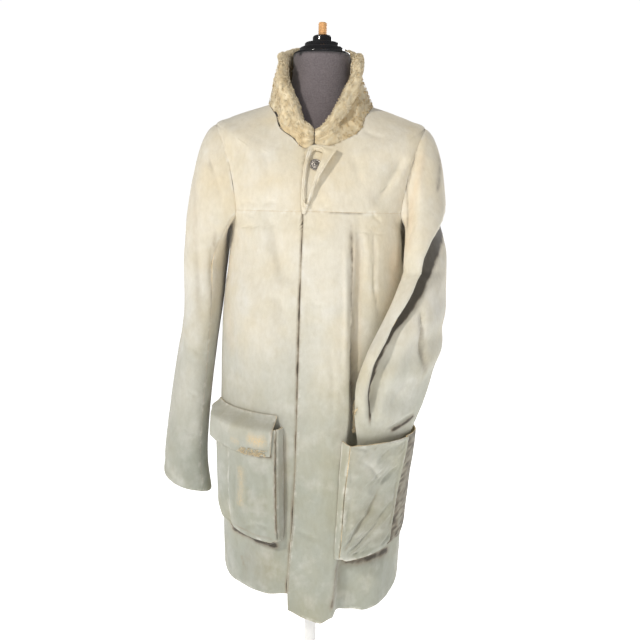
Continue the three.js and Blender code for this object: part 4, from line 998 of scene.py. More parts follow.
def suede():
    """Leather side of a worn sheepskin: ivory nap, warmer at the shoulders, darker and greyer at the skirt.
    """

    def build(k):
        c = colours()
        z, x = k.place()
        drift = k.noise(5.5, 2.0)
        level = k.sum(z, k.shape(drift, 0.3, 0.7, -0.06, 0.06), "ADD")
        main = k.ramp(
            k.shape(level, 0.36, 1.36),
            [
                (0.0, rgba(c.skin_low, 0.94)), (0.3, rgba(c.skin_low)), (0.62, rgba(c.skin_mid)),
                (0.86, rgba(c.skin_high)), (1.0, rgba(c.skin_mid, 1.03)),
            ],
        )
        yellow = k.shape(k.noise(9, 3, seed=3.1), 0.45, 0.72, 0.0, 0.5)
        main = k.blend(yellow, main, (0.98, 0.88, 0.66), "MULTIPLY")
        grey = k.shape(k.noise(13, 4, seed=8.7), 0.5, 0.75, 0.0, 0.5)
        main = k.blend(grey, main, (0.86, 0.87, 0.83), "MULTIPLY")
        pale = k.shape(k.noise(22, 4, seed=1.9), 0.52, 0.74, 0.0, 0.32)
        main = k.blend(pale, main, (0.88, 0.87, 0.82))
        streak = k.shape(k.noise(60, 4, 0.6, stretch=(1, 1, 0.5), seed=2.2), 0.42, 0.62)
        main = k.blend(k.sum(streak, 0.13), main, (0.74, 0.68, 0.55), "MULTIPLY")
        nap = k.noise(150, 4, 0.6, stretch=(1, 1, 0.55))
        main = k.blend(k.shape(nap, 0.3, 0.7, 0.0, 0.16), main, (0.5, 0.45, 0.34), "MULTIPLY")
        border = k.attribute("border")
        worn = k.sum(
            k.shape(border, 0.2, 2.2, 1.0, 0.0), k.shape(k.noise(60, 3, seed=5.0), 0.35, 0.65, 0.0, 0.34),
        )
        main = k.blend(worn, main, (0.62, 0.5, 0.34))
        chalk = k.sum(
            k.shape(border, 1.6, 7.0, 1.0, 0.0), k.shape(k.noise(48, 3, seed=2.0), 0.5, 0.62, 0.0, 0.4),
        )
        main = k.blend(chalk, main, (0.93, 0.91, 0.84))
        # Darker and a little cooler towards the wearer's right side.
        main = k.blend(k.shape(x, -0.14, 0.05, 1.0, 0.0), main, (0.88, 0.885, 0.9), "MULTIPLY")
        mott = k.shape(k.noise(95, 4, seed=6.0), 0.3, 0.7, 0.6, 1.25)
        main = k.blend(k.sum(k.attribute("warm"), 0.6), main, (1.0, 0.83, 0.66), "MULTIPLY")
        wool = k.sum(k.attribute("wool"), k.shape(k.noise(420, 4, seed=4.4), 0.4, 0.6, 0.2, 1.0))
        main = k.blend(wool, main, rgba(c.fur_dark, 1.15))
        # This attribute holds stains and painted shade; its strongest values, the painted shadows under the
        # pockets, the flap and the left sleeve's roll, turn near black.
        stain_and_shade = k.attribute("stain_and_shade")
        main = k.blend(k.sum(k.shape(stain_and_shade, 0.0, 0.8), mott), main, (0.3, 0.25, 0.185))
        main = k.blend(k.shape(stain_and_shade, 0.5, 0.92, 0.0, 0.9), main, (0.06, 0.052, 0.04))
        fine = k.noise(1150, 3, 0.65)
        soft = k.noise(260, 4, 0.6)
        crinkle = k.noise(70, 4, 0.6, seed=7.7)
        normal = k.bump(fine, 0.00016, 0.55, k.bump(soft, 0.0004, 0.5, k.bump(crinkle, 0.0012, 0.35)))
        k.surface(Base_Color=main, Normal=normal, Roughness=0.93)
        k.surface(Specular_IOR_Level=0.22, Sheen_Weight=0.25, Sheen_Roughness=0.6)

    return made("suede", build)


def fleece():
    """Wool side of the sheepskin, short and matted."""

    def build(k):
        c = colours()
        cells = k.add("TexVoronoi", Scale=330.0)
        k.link(k.coords(), cells.inputs["Vector"])
        lump = cells.outputs["Distance"]
        main = k.blend(k.shape(lump, 0.1, 0.7), rgba(c.fur_light, 0.95), rgba(c.fur_dark, 1.2))
        normal = k.bump(k.sum(1.0, lump, "SUBTRACT"), 0.0012, 0.9, k.bump(k.noise(900, 4), 0.0005, 0.8))
        k.surface(Base_Color=main, Normal=normal, Roughness=0.97, Specular_IOR_Level=0.15, Sheen_Weight=0.3)

    return made("fleece", build)


def lamb():
    """Curly lamb: cream tips over ochre roots."""

    def build(k):
        c = colours()
        mottle = k.noise(70, 4)
        broad = k.noise(18, 3, seed=4.0)
        main = k.blend(k.shape(mottle, 0.36, 0.62), rgba(c.fur_light, 1.06), rgba(c.fur_light, 0.78))
        main = k.blend(k.shape(broad, 0.5, 0.7, 0.0, 0.55), main, (0.7, 0.5, 0.24))
        main = k.blend(k.shape(k.noise(26, 3, seed=9.0), 0.54, 0.72, 0.0, 0.5), main, (0.86, 0.82, 0.7))
        # Ochre roots; on the collar's curls this also carries painted shade under the roll and along the fold
        # lines.
        main = k.blend(k.attribute("root"), main, rgba(c.fur_dark))
        normal = k.bump(k.noise(1500, 3, 0.6), 0.0003, 0.8)
        k.surface(Base_Color=main, Normal=normal, Roughness=0.85, Specular_IOR_Level=0.3, Sheen_Weight=0.2)

    return made("lamb_fur", build)


def jersey():
    """Fine charcoal knit stretched over the form."""

    def build(k):
        c = colours()
        wales = k.add(
            "TexWave", wave_type="BANDS", bands_direction="Z", Scale=330.0, Distortion=0.6, Detail=1.0,
        )
        k.link(k.coords(), wales.inputs["Vector"])
        mott = k.noise(420, 3)
        main = k.blend(k.shape(mott, 0.3, 0.7), rgba(c.jersey, 0.8), rgba(c.jersey, 1.25))
        main = k.blend(k.shape(k.noise(14, 3), 0.45, 0.75, 0.0, 0.35), main, rgba(c.jersey, 1.5))
        main = k.blend(k.attribute("stain_and_shade"), main, (0.012, 0.012, 0.014))
        normal = k.bump(wales.outputs["Fac"], 0.0002, 0.4, k.bump(mott, 0.0004, 0.5))
        k.surface(Base_Color=main, Normal=normal, Roughness=0.95, Specular_IOR_Level=0.2, Sheen_Weight=0.35)

    return made("charcoal_knit", build)


def hard(name, colour, roughness, metallic, spots, grain=60, stretch=None):
    """Lacquer, metal or wood with faint mottling and fine scratches."""

    def build(k):
        tex = k.noise(grain, 4, 0.6, stretch=stretch)
        main = k.blend(k.shape(tex, 0.3, 0.7), rgba(colour, 1 - spots), rgba(colour, 1 + spots))
        worn = k.shape(k.noise(240, 3), 0.3, 0.7, roughness * 0.85, min(1.0, roughness * 1.2))
        k.surface(Base_Color=main, Roughness=worn, Normal=k.bump(tex, 0.00015, 0.4), Metallic=metallic)

    return made(name, build)


# ---- body panels --------------------------------------------------------------------------------
AXIS = np.array([0.0, 0.0, 900.0])
TOP_ROW = 12.97  # just under the neck seam


def lap_shadow(raised):
    """Darker grime on the left front's own edge, and painted shadow of that edge on the right front under it.
    """

    def shade(p):
        q = p[..., 0] - table(EDGE_X, p[..., 2])
        # Raised: a grimy line on the left front's edge; otherwise a painted shadow strip on the right front
        # beside the lap edge.
        strip = bell(q, 1.4) if raised else smooth(-5.5, -2.5, q)
        low = 1 - 0.6 * smooth(1140, 1160, p[..., 2])
        return (0.6 if raised else 1.0) * low * strip * (p[..., 1] < 0) * (0.8 + 0.3 * noise(p, 16, 61))

    return shade


# Levels at which the armhole's edge turns quickly, so a panel has rows there.
TURNS = (6.0, 6.04, 6.16, 6.4, 7.0, 9.0, 9.6, 9.84, 9.96, 10.0)


def body_panel(name, left, right, low, high, cols, hem=None, raised=False, crest_cols=False):
    """A panel of the coat's body between two edges, given as angles at a level.

    crest_cols puts columns along the crest of the long fold.
    """
    bends = np.array([low] + [r for r in TURNS if low < r < high] + [high])
    heights = np.array([spline(LEVELS, np.array([v]))[0][0] + 40 * max(0, v - 10) for v in bends])
    rows = steps(heights[-1] - heights[0])

    def place(a, b):
        row = np.interp(b, (heights - heights[0]) / (heights[-1] - heights[0]), bends)
        u0, u1 = left(row), right(row)
        if crest_cols:
            v = np.minimum(row, 6.8)
            u2 = angle_at(table(CREST_X, base(np.zeros_like(v), v)[..., 2]) - 1, v)
            u = np.where(a < 0.42, mix(u0, u2, a / 0.42), mix(u2, u1, ((a - 0.42) / 0.58) ** 1.25))
        else:
            u = mix(u0, u1, a)
        v = level_of(row, u, hem)
        return outer(u, v, lap(u, v) if raised else 0.0 * u)

    return lay(name, cols, rows, place, AXIS, relief=skin_waves, shade=lap_shadow(raised))


def side_edge(sign):
    """The edge along the side seam and armhole."""
    return lambda row: sign * (HOLE_ANGLE - hole_half(row) - SEAM_ANGLE)


def right_edge(row):
    """The right front's edge, under the lap."""
    return angle_at(np.full(np.shape(row), UNDERLAP_X), np.minimum(row, 12))


def left_edge(row):
    """The left front's edge, over the lap."""
    v = np.minimum(row, 11.2)
    return angle_at(table(EDGE_X, base(np.zeros_like(v), v)[..., 2]), v)


class COAT_OT_fronts(bpy.types.Operator):
    """Lay the two fronts, the left one over the right one with its long fold."""

    bl_idname = "coat.fronts"
    bl_label = "Fronts"

    def execute(self, context):
        low, high = 0.0, YOKE_LEVEL - 0.001
        right = body_panel("skin_front_right", side_edge(-1), right_edge, low, high, steps(285), HEM_RIGHT)
        left = body_panel(
            "skin_front_left", left_edge, side_edge(1), low, high, steps(370), HEM_LEFT, raised=True,
            crest_cols=True,
        )
        skin_for(right, "front_right", "form_torso")
        skin_for(left, "front_left", "form_torso", "skin_front_right")
        return {"FINISHED"}


class COAT_OT_yokes(bpy.types.Operator):
    """Lay the two front yokes over the shoulders."""

    bl_idname = "coat.yokes"
    bl_label = "Yokes"

    def execute(self, context):
        low = YOKE_LEVEL + 0.001
        right = body_panel("skin_yoke_right", side_edge(-1), right_edge, low, TOP_ROW, steps(240))
        left = body_panel("skin_yoke_left", left_edge, side_edge(1), low, TOP_ROW, steps(240), raised=True)
        skin_for(right, "yoke_right", "form_torso")
        skin_for(left, "yoke_left", "form_torso")
        return {"FINISHED"}


class COAT_OT_back(bpy.types.Operator):
    """Lay the back, one skin from the neck to the hem."""

    bl_idname = "coat.back"
    bl_label = "Back"

    def execute(self, context):
        def left(row):
            return HOLE_ANGLE + hole_half(row) + SEAM_ANGLE

        def right(row):
            return 360 - HOLE_ANGLE - hole_half(row) - SEAM_ANGLE

        back = body_panel("skin_back", left, right, 0.0, TOP_ROW, steps(430), HEM_BACK)
        skin_for(back, "back", "form_torso")
        return {"FINISHED"}


# ---- sleeves ------------------------------------------------------------------------------------
SLEEVE_GAP = 0.05  # degrees left open at each edge of a sleeve's skin
HEAD_UNDER, HEAD_TUCK = 0.4, 0.8  # how far a sleeve's head starts under the armhole's edge and past it


def sleeve_ring(side, t, s):
    """The sleeve below its head: the right one hangs, the left one lies along the coat."""
    across, along = np.cos(t * RAD), np.sin(t * RAD)
    if side < 0:
        z, cx, cy, hw, hd, turn = spline(SLEEVE_RIGHT, s)
        a, b = hw * power(across, SLEEVE_ROUND_RIGHT), -hd * power(along, SLEEVE_DEPTH_ROUND)
        c, d = np.cos(turn * RAD), np.sin(turn * RAD)
        tilt = (CUFF_TILT * across - CUFF_DROP * along) * smooth(3, 5, s)
        return vec(-(cx + a * c + b * d), cy - a * d * 0.4 + b * c, z + tilt)
    z, um, uh, near, far = spline(SLEEVE_LEFT, s)
    o = mix(near, far, 0.5 + 0.5 * power(across, SLEEVE_ROUND_LEFT))
    u = um - uh * power(along, SLEEVE_DEPTH_ROUND)
    v = level_at(z)
    return off(u, v, np.maximum(0, drape(u, v)) + o)


def roll_height(t, z):
    """How far the left sleeve's roll stands out, below 0 in the fold under it."""
    t = from_front(t)
    best, q = np.full(np.shape(t), 1e9), np.zeros(np.shape(t))
    for (at, az), (bt, bz) in zip(ROLL_LINE, ROLL_LINE[1:]):
        dt, dz = bt - at, bz - az
        k = np.clip(((t - at) * dt + (z - az) * dz) / (dt * dt + dz * dz), 0, 1)
        d = np.hypot(t - at - k * dt, z - az - k * dz)
        q = np.where(d < best, np.where(dt * (z - az) < dz * (t - at), d, -d), q)
        best = np.minimum(best, d)
    fold = smooth(-8, 5, q) * (1 - smooth(6, table(FOLD_WIDTH, z), q))
    strength = smooth(*ROLL["turn"], t) * smooth(*ROLL["heights"], z)
    roll = ROLL["height"] * smooth(*ROLL["grow"], t) * bell(q - ROLL["at"], ROLL["width"])
    return strength * (roll - ROLL["deep"] * fold), q


def sleeve(side, t, s):
    """A point of a sleeve: t is the angle round it from the outside over the front, s its station."""
    t, s = np.broadcast_arrays(np.asarray(t, float), np.asarray(s, float))
    body = sleeve_ring(side, t, np.maximum(s - 1, 0))
    head = np.minimum(s, 1)
    hu, hv = hole_spot(t)
    start = base(side * hu, hv) + base_normal(side * hu, hv) * -HEAD_UNDER
    w = np.clip((start[..., 2] - 1115) / 191, 0, 1)
    front = np.sin(t * RAD)
    t0 = vec(side * mix(34, 128, w), -26 * front, mix(-22, -42, w) - 62 * np.sin(np.pi * w))
    t1 = vec(side * 8.0 + 0 * w, 6 * front, -mix(62, 262, w))
    h = head[..., None]
    p = start * (h * h * (2 * h - 3) + 1) + t0 * (h * (h - 1) ** 2)
    p = p + body * (h * h * (3 - 2 * h)) + t1 * (h * h * (h - 1))
    p = np.where((s >= 1)[..., None], body, p)
    k = 1 - smooth(0, 0.25, s)
    mid = base(np.array(side * HOLE_ANGLE), np.array(HOLE_LEVEL))
    p = p - unit(mid - p) * (HEAD_TUCK * k)[..., None]
    if side > 0:
        z, um, uh = spline(SLEEVE_LEFT, np.maximum(s - 1, 0))[:3]
        out = base_normal(um - uh * power(np.sin(t * RAD), SLEEVE_DEPTH_ROUND), level_at(z))
        out[..., 2] = 0
        p = p + unit(out) * roll_height(t, p[..., 2])[0][..., None]
    return p


def sleeve_folds(side):
    """Creases of the cloth round the elbow, at the cuff and under the armhole, in millimetres."""

    def relief(t, s, p):
        z = p[..., 2]
        if side < 0:
            out = 1.6 * np.sin(t * RAD * 3 + z / 55) * smooth(0.6, 2, s)
            elbow = bell(z - 960, 80) * smooth(-0.2, 1, np.cos((t - 150) * RAD))
            out = out + 1.8 * np.sin(z / 21 + 2.2 * np.sin(t * RAD)) * elbow
            out = out + 1.2 * np.sin(z / 13 + t / 24) * smooth(5, 6.4, s)
        else:
            bend = bell(z - 905, 75)
            out = 2.4 * np.sin(z / 15 + t / 21) * bend * smooth(-0.3, 0.9, np.cos((t - 20) * RAD))
            wrist = bell(z - 800, 55) * smooth(-0.2, 0.8, np.cos((t - 40) * RAD))
            out = out + 1.9 * np.sin(z / 12 - t / 17) * wrist
            out = out - 3.0 * bell(t - 20 - (z - 900) / 9, 7) * bell(z - 860, 60)
            out = out + 2.2 * bell(t - 2 - (z - 900) / 10, 9) * bell(z - 850, 60)
        return out

    return relief


def sleeve_piece(name, side, start, end, last, cols, rows):
    """One skin of a sleeve, between two angles round it and down to the last station."""
    folds = sleeve_folds(side)
    held = {}

    def place(a, b):
        held["t"], held["s"] = mix(start + SLEEVE_GAP, end - SLEEVE_GAP, a), b * last
        return sleeve(side, held["t"], held["s"])

    def relief(p, across, up, width, height, border):
        calm = smooth(0, 26, border) * smooth(0, 0.5, held["s"])
        inward = smooth(*((0.15, -0.5) if side > 0 else (-0.2, -0.8)), np.cos(held["t"] * RAD))
        folds_here = folds(held["t"], held["s"], p) * calm * (1 - 0.85 * inward)
        return folds_here + skin_waves(p, across, up, width, height, border) * (1 - 0.6 * inward)

    stations = np.linspace(0.4, last, 12)
    middles = sleeve(side, np.linspace(0, 340, 18)[None, :], stations[:, None]).mean(axis=1)

    def centres(b):
        return np.stack([np.interp(b * last, stations, middles[:, i]) for i in range(3)], -1)

    def band(p):
        """Shade under the roll of the left sleeve."""
        t = from_front(held["t"])
        q = roll_height(t, p[..., 2])[1] + 1.5 * noise(p, 18, 62)
        width = table(BAND_WIDTH, p[..., 2])
        dark = smooth(-2.5, 2.5, q) * (1 - smooth(0.86, 1.1, q / width)) * (0.98 + 0.1 * noise(p, 12, 63))
        return dark * smooth(-30, -5, t) * (1 - smooth(95, 110, t)) * smooth(762, 790, p[..., 2])

    b = np.linspace(0, 1, rows + 1)[:, None] * np.ones((1, cols + 1))
    return lay(name, cols, rows, place, centres(b), relief=relief, shade=band if side > 0 else None)


class COAT_OT_sleeves(bpy.types.Operator):
    """Lay the four skins of the two sleeves."""

    bl_idname = "coat.sleeves"
    bl_label = "Sleeves"

    def execute(self, context):
        for side, word, last, length, finer in ((-1, "right", 6.0, 700, 1.0), (1, "left", 8.0, 620, 1.6)):
            name = f"sleeve_{word}_"
            cols, rows = steps(300, finer), steps(length, finer)
            upper = sleeve_piece(f"skin_{name}upper", side, SEAM_BACK - 360, SEAM_FRONT, last, cols, rows)
            cols, rows = steps(170), steps(length)
            under = sleeve_piece(f"skin_{name}under", side, SEAM_FRONT, SEAM_BACK, last, cols, rows)
            skin_for(upper, name + "upper", f"skin_{name}under")
            skin_for(under, name + "under", f"skin_front_{word}")
        return {"FINISHED"}


# ---- pockets and flaps --------------------------------------------------------------------------
def pocket_spot(k, s, r):
    """Angle and level behind a point of a pocket: s across it outwards, r down it."""
    u = mix(mix(k["inner"][0], k["outer"][0], s), mix(k["inner"][1], k["outer"][1], s), r)
    z = mix(mix(k["top"][0], k["top"][1], s), mix(k["bottom"][0], k["bottom"][1], s), r)
    lift = 7 * (smooth(0.86, 1, r) * (smooth(0.12, 0, s) + smooth(0.88, 1, s)))
    return k["side"] * u, level_at(z + lift)


def pocket_out(k, s, r):
    """How far the pocket's front stands off the body."""
    sag = np.sin(np.pi * np.clip(s, 0, 1)) * (0.4 + 0.6 * r)
    gape = mix(k["off"][0], k["off"][1], smooth(0, 0.55, r))
    ripple = 2.5 * np.sin(9 * s + 5 * r) * smooth(0.1, 0.4, r) * smooth(1, 0.8, r) if k["side"] > 0 else 0
    return gape + 6 * sag + 3 * np.sin(np.pi * np.clip(r, 0, 1)) - ripple


def pocket_front(word):
    """The front panel; the left one is pulled into wrinkles round the hand."""
    k = POCKETS[word]
    held = {}

    def place(a, b):
        r = 1 - b
        held["s"], held["r"] = a, r
        u, v = pocket_spot(k, a, r)
        return off(u, v, pocket_out(k, a, r) + cut().skin * METRE)

    def relief(p, across, up, width, height, border):
        s, r = held["s"], held["r"]
        out = skin_waves(p, across, up, width, height, border)
        calm = smooth(0, 16, border)
        if word == "left":
            x, z = s + 0.04, (1.02 - r) * 1.4
            d, fan = np.hypot(x, z), np.arctan2(z, x)
            near = smooth(0.15, 0.5, d) * smooth(1.5, 0.7, d)
            out = out + calm * 1.3 * np.sin(fan * 17 + 1.5 * noise(p, 30, 9)) * near
            slant = vec((p[..., 0] + p[..., 2]) / 40, p[..., 1] / 40, (p[..., 2] - p[..., 0]) / 13)
            out = out + calm * 1.9 * (0.6 - 2.2 * np.abs(noise(slant, 1.0, 71)))
            out = out + calm * 0.7 * np.sin(r * 26 + 5 * s) * smooth(0.5, 0.0, r)
            piping = width - across
            out = out + 1.3 * bell(piping - 4, 2.2) - 1.2 * bell(piping - 8.5, 2)
            out = out + 1.6 * smooth(0.5, 0.62, s) * bell(height - up - 4, 3.5)
        else:
            out = out + calm * 1.3 * np.sin(s * 14 + r * 3 + noise(p, 40, 4)) * smooth(0.2, 0.7, r)
        return out

    obj = lay(f"skin_pocket_{word}", steps(140, 1.7), steps(215, 1.7), place, AXIS, relief=relief)
    skin_for(obj, f"pocket_{word}_front", f"skin_front_{word}")


def pocket_gusset(word):
    """The folded strip round three sides of a pocket: down, across and up."""
    k = POCKETS[word]
    down = [(0, j / 8, -1, 0) for j in range(8)] + [(0, 1, -0.7, 0.7)]
    across = [(j / 9, 1, 0, 1) for j in range(1, 9)]
    path = down + across + [(1, 1, 0.7, 0.7)] + [(1, j / 8, 1, 0) for j in range(7, -1, -1)]

    def place(a, b):
        s, r, du, dz = spline(path, b * (len(path) - 1))
        s, r = np.clip(s, 0, 1), np.clip(r, 0, 1)
        u, v = pocket_spot(k, s, r)
        z = base(u, v)[..., 2]
        spread = np.where(du > 0, k["reach"], 2.5)
        uu = u + k["side"] * du * spread * a
        vv = level_at(z - np.maximum(0, dz) * 9 * a)
        far, near = pocket_out(k, s, r) - 0.45, coat_face(uu, vv) + np.where(du > 0, 4.8, 3.3)
        swell = np.where(du > 0, k["swell"], np.minimum(5, 0.33 * (far - near)))
        return off(uu, vv, mix(far, near, a) + swell * np.sin(np.pi * a))

    u, v = pocket_spot(k, 0.5, 0.5)
    centre = off(np.array(u), np.array(v), np.array(8.0))

    # Painted shadow: the strip along the pocket's bottom goes near black, and the gusset's side that faces
    # away from the light (outer on the left pocket, inner on the right) is darkened in a mottle.
    def shade(p):
        q = (p[..., 0] - k["side"] * 120) * k["side"]
        if word == "left":
            side = np.clip(0.66 + 0.4 * noise(p, 5, 64), 0, 0.9) * smooth(-50, -12, q)
        else:
            side = 0.35 * (q < -20) * np.clip(0.5 + 0.6 * noise(p, 14, 65), 0, 1)
        floor = mix(k["bottom"][0], k["bottom"][1], np.clip((q + 70) / 100, 0, 1))
        return np.maximum(side, 0.95 * smooth(3, -3, p[..., 2] - floor))

    obj = lay(
        f"skin_gusset_{word}", 12, steps(520), place, centre, relief=skin_waves, thickness=0.0024,
        shade=shade,
    )
    skin_for(obj, f"pocket_{word}_gusset", f"skin_front_{word}")


class COAT_OT_pockets(bpy.types.Operator):
    """Lay the fronts and gussets of the two bellows pockets."""

    bl_idname = "coat.pockets"
    bl_label = "Pockets"

    def execute(self, context):
        for word in ("right", "left"):
            pocket_front(word)
            pocket_gusset(word)
        return {"FINISHED"}


def flap_right_place(a, b):
    """The right flap, from its seam over the pocket's mouth."""
    r = 1 - b
    k = POCKETS["right"]
    u = -mix(mix(FLAP["inner"][0], FLAP["outer"][0], a), mix(FLAP["inner"][1], FLAP["outer"][1], a), r)
    top, bottom = (mix(FLAP[end][0], FLAP[end][1], a) for end in ("top", "bottom"))
    z = mix(top, bottom, r) - 4 * np.sin(np.pi * a) * r + 3 * smooth(0.9, 1, a) * r
    v = level_at(z)
    inner, outer_u = k["inner"][0], k["outer"][0]
    s = np.clip((-u - inner) / (outer_u - inner), 0, 1)
    full = (pocket_out(k, s, 0.1) + 7.4) * (1 - 0.42 * smooth(0.72, 1, a))
    return off(u, v, mix(coat_face(u, v) + 3.5, full + 3 * r, smooth(0, 0.34, r)))


def flap_left_place(a, b):
    """The left flap, standing up against the front."""
    u = mix(*FLAP_LEFT["angles"], a)
    v = level_at(mix(*FLAP_LEFT["heights"], b) - 3 * smooth(0.8, 1, a) * b)
    return off(u, v, np.maximum(0, coat_face(u, v)) + 3.1 + 0.6 * b)


class COAT_OT_flaps(bpy.types.Operator):
    """Lay the right flap over its pocket and stand the left one up behind the sleeve."""

    bl_idname = "coat.flaps"
    bl_label = "Pocket flaps"

    def execute(self, context):
        def worn(p, across, up, width, height, border):
            ragged = 0.7 * noise(p, 5, 12) * smooth(14, 0, up)
            return skin_waves(p, across, up, width, height, border) + ragged

        right = lay("skin_flap_right", steps(190), steps(75), flap_right_place, AXIS, relief=worn)
        left = lay(
            "skin_flap_left", steps(120), steps(64), flap_left_place, AXIS, relief=skin_waves,
            thickness=0.0022,
        )
        skin_for(right, "flap_right", "skin_front_right", "skin_pocket_right")
        skin_for(left, "flap_left", "skin_front_left")
        return {"FINISHED"}


# ---- throat tab and button ----------------------------------------------------------------------
def loop_points(points, n):
    """A closed line of points, rounded and cut into n equal steps."""
    count = len(points)
    fine = spline(points[-2:] + points + points[:3], np.linspace(2, 2 + count, 40 * count, endpoint=False))
    x, z = np.append(fine[0], fine[0][0]), np.append(fine[1], fine[1][0])
    run = np.concatenate([[0], np.cumsum(np.hypot(np.diff(x), np.diff(z)))])
    want = np.linspace(0, run[-1], n, endpoint=False)
    return np.interp(want, run, x), np.interp(want, run, z)


def tab_rise(x, z):
    """How far the tab stands off the yoke, most of all over the button and towards the collar."""
    edge = table([(1141, -26), (1166, -16), (1194, -6), (1219, 9), (1245, 26), (1260, 34)], z)
    near = bell(z - 1226, 34)
    return 0.35 + 5.2 * near + 6 * smooth(-24, 2, x - edge) * smooth(1145, 1180, z)


class COAT_OT_tab(bpy.types.Operator):
    """Cut the throat tab with its slot and set it on the collar seam."""

    bl_idname = "coat.tab"
    bl_label = "Throat tab"

    def execute(self, context):
        n = 220
        xo, zo = loop_points(TAB, n)
        xi, zi = loop_points(SLOT, n)

        def place(a, b):
            i = np.rint(a * n).astype(int) % n
            x, z = mix(xo[i], xi[i], b), mix(zo[i], zi[i], b)
            u, v = front_at(x, z)
            edge = np.minimum(b, 1 - b)
            lift = lap(u, v) + tab_rise(x, z) + cut().skin * METRE
            return outer(u, v, lift + 1.1 * smooth(0, 0.35, edge))

        tab = lay(
            "skin_tab", n, 20, place, np.array([
                0.0, 0.0, 1200.0,
            ]), self.strands, wrap=True, thickness=0.0028,
            seams="bt", materials=(suede(), suede()),
        )
        width, height = TAB_FLAT
        skin_for(tab, "throat_tab", "skin_yoke_left", flat=TAB_FLAT, area=width * height * TAB_LEFT)
        return {"FINISHED"}

    @staticmethod
    def strands(p, across, up, width, height, border):
        """Rope-like strands along the tab."""
        b = up / height
        rope = 0.5 * np.cos(math.tau * (2.5 * b + 0.3 * noise(p, 13, 7)))
        return 0.3 * noise(p, 7, 6) + rope * smooth(0, 0.1, b) * smooth(1, 0.9, b)


class COAT_OT_button(bpy.types.Operator):
    """Turn the worn metal button behind the slot."""

    bl_idname = "coat.button"
    bl_label = "Button"

    def execute(self, context):
        u, v = front_at(np.array(BUTTON_X), np.array(BUTTON_Z))
        normal = Vector(base_normal(u, v))
        seat = Vector(outer(u, v, lap(u, v) + 0.5)) * MM
        bm = turned(BUTTON, 48)
        for vert in bm.verts:
            r, angle = vert.co.xy.length, math.atan2(vert.co.y, vert.co.x)
            if 0.004 < r < 0.0095 and vert.co.z > 0.002:
                vert.co.z += 0.00028 * math.sin(12 * angle + 900 * r)
        turn = Vector((0, 0, 1)).rotation_difference(normal).to_matrix().to_4x4()
        bmesh.ops.transform(bm, matrix=Matrix.Translation(seat) @ turn, verts=bm.verts)
        obj = from_bmesh(bm, "button_metal", hard("worn_metal", (0.33, 0.3, 0.27), 0.36, 1.0, 0.45, 420))
        stand_for(obj, "button")
        return {"FINISHED"}


def from_bmesh(bm, name, material, smooth_faces=True):
    """A piece of its own from what has been built."""
    bmesh.ops.recalc_face_normals(bm, faces=bm.faces)
    for face in bm.faces:
        face.smooth = smooth_faces
    mesh = bpy.data.meshes.new(name)
    bm.to_mesh(mesh)
    bm.free()
    obj = bpy.data.objects.new(name, mesh)
    bpy.context.scene.collection.objects.link(obj)
    mesh.materials.append(material)
    return obj


# ---- collar -------------------------------------------------------------------------------------
def collar_ring(u):
    """Control points of the collar's section at angles u, in millimetres."""
    a = from_front(u)
    right, left = (
        np.stack([table([(row[0], row[i]) for row in rows], np.abs(a)) for i in (1, 2, 3)])
        for rows in (COLLAR_RIGHT, COLLAR_LEFT)
    )
    inset, up, r = np.where(a < 0, right, left)
    v = neck_dip(u)
    seat = base(u, v) + base_normal(u, v) * (lap(u, v) * (np.cos(u * RAD) > 0.5) + 0.9)[..., None]
    out = unit(vec(seat[..., 0], seat[..., 1] + 14, 0 * u))
    hang = smooth(6, 22, a) * (1 - smooth(140, 172, a))
    x = -inset
    sunk = smooth(2, -8, a) * (a > -60)
    points = [
        (0.8 - 4.2 * sunk, -1.2 - 1.5 * sunk),
        (0.3 * x + mix(3, -1, hang) - 1.5 * sunk, 0.3 * up),
        (mix(0.55 * x + 6, x + 0.25 * r, hang), mix(0.55 * up, up - 2 * r, hang)),
        (x + r * mix(0.82, 0.9, hang), up - r * mix(0.62, 1.7, hang)),
        (x + r * mix(1, 1.05, hang), up + r * mix(0.15, -0.3, hang)),
        (x + 0.62 * r, up + 0.8 * r),
        (x - 0.1 * r, up + r),
        (x - 0.78 * r, up + 0.62 * r),
        (x - r, up - 0.15 * r),
        (x - 0.72 * r, up - 0.8 * r),
        (0.5 * x - 6.5, 2.75 + 0.45 * up),
        (-8.5 + 0 * u, 5 + 0 * u),
    ]
    return [seat + out * o[..., None] + vec(0 * u, 0 * u, h) for o, h in points]


def collar_surface(a, b):
    """A point of the collar: a round its section, b along the neck."""
    u = mix(COLLAR_FROM, COLLAR_TO, b)
    ring = np.stack(collar_ring(u), 0)
    n = len(ring)
    t = (a % 1.0) * n
    i = np.floor(t).astype(int)
    s = (t - i)[..., None]
    rows, cols = np.indices(a.shape)

    def pick(k):
        return ring[(i + k) % n, rows, cols]

    p0, p1, p2, p3 = pick(-1), pick(0), pick(1), pick(2)
    return p1 + 0.5 * s * (p2 - p0 + s * (2 * p0 - 5 * p1 + 4 * p2 - p3 + s * (3 * (p1 - p2) + p3 - p0)))


def collar_shade(a, b):
    """Painted shade on the fur: darker under the roll, where its shadow falls, and along the collar's fold
    lines.
    """
    u = mix(COLLAR_FROM, COLLAR_TO, b)
    angle = from_front(u)
    hang = smooth(8, 20, angle) * (1 - smooth(140, 172, angle))
    lines = sum(bell(a - at + 0.012 * np.sin(b * 60), 0.012) for at in COLLAR_GROOVES)
    return 0.85 * hang * smooth(0.27, 0.17, a) + 0.35 * lines * (1 - hang)


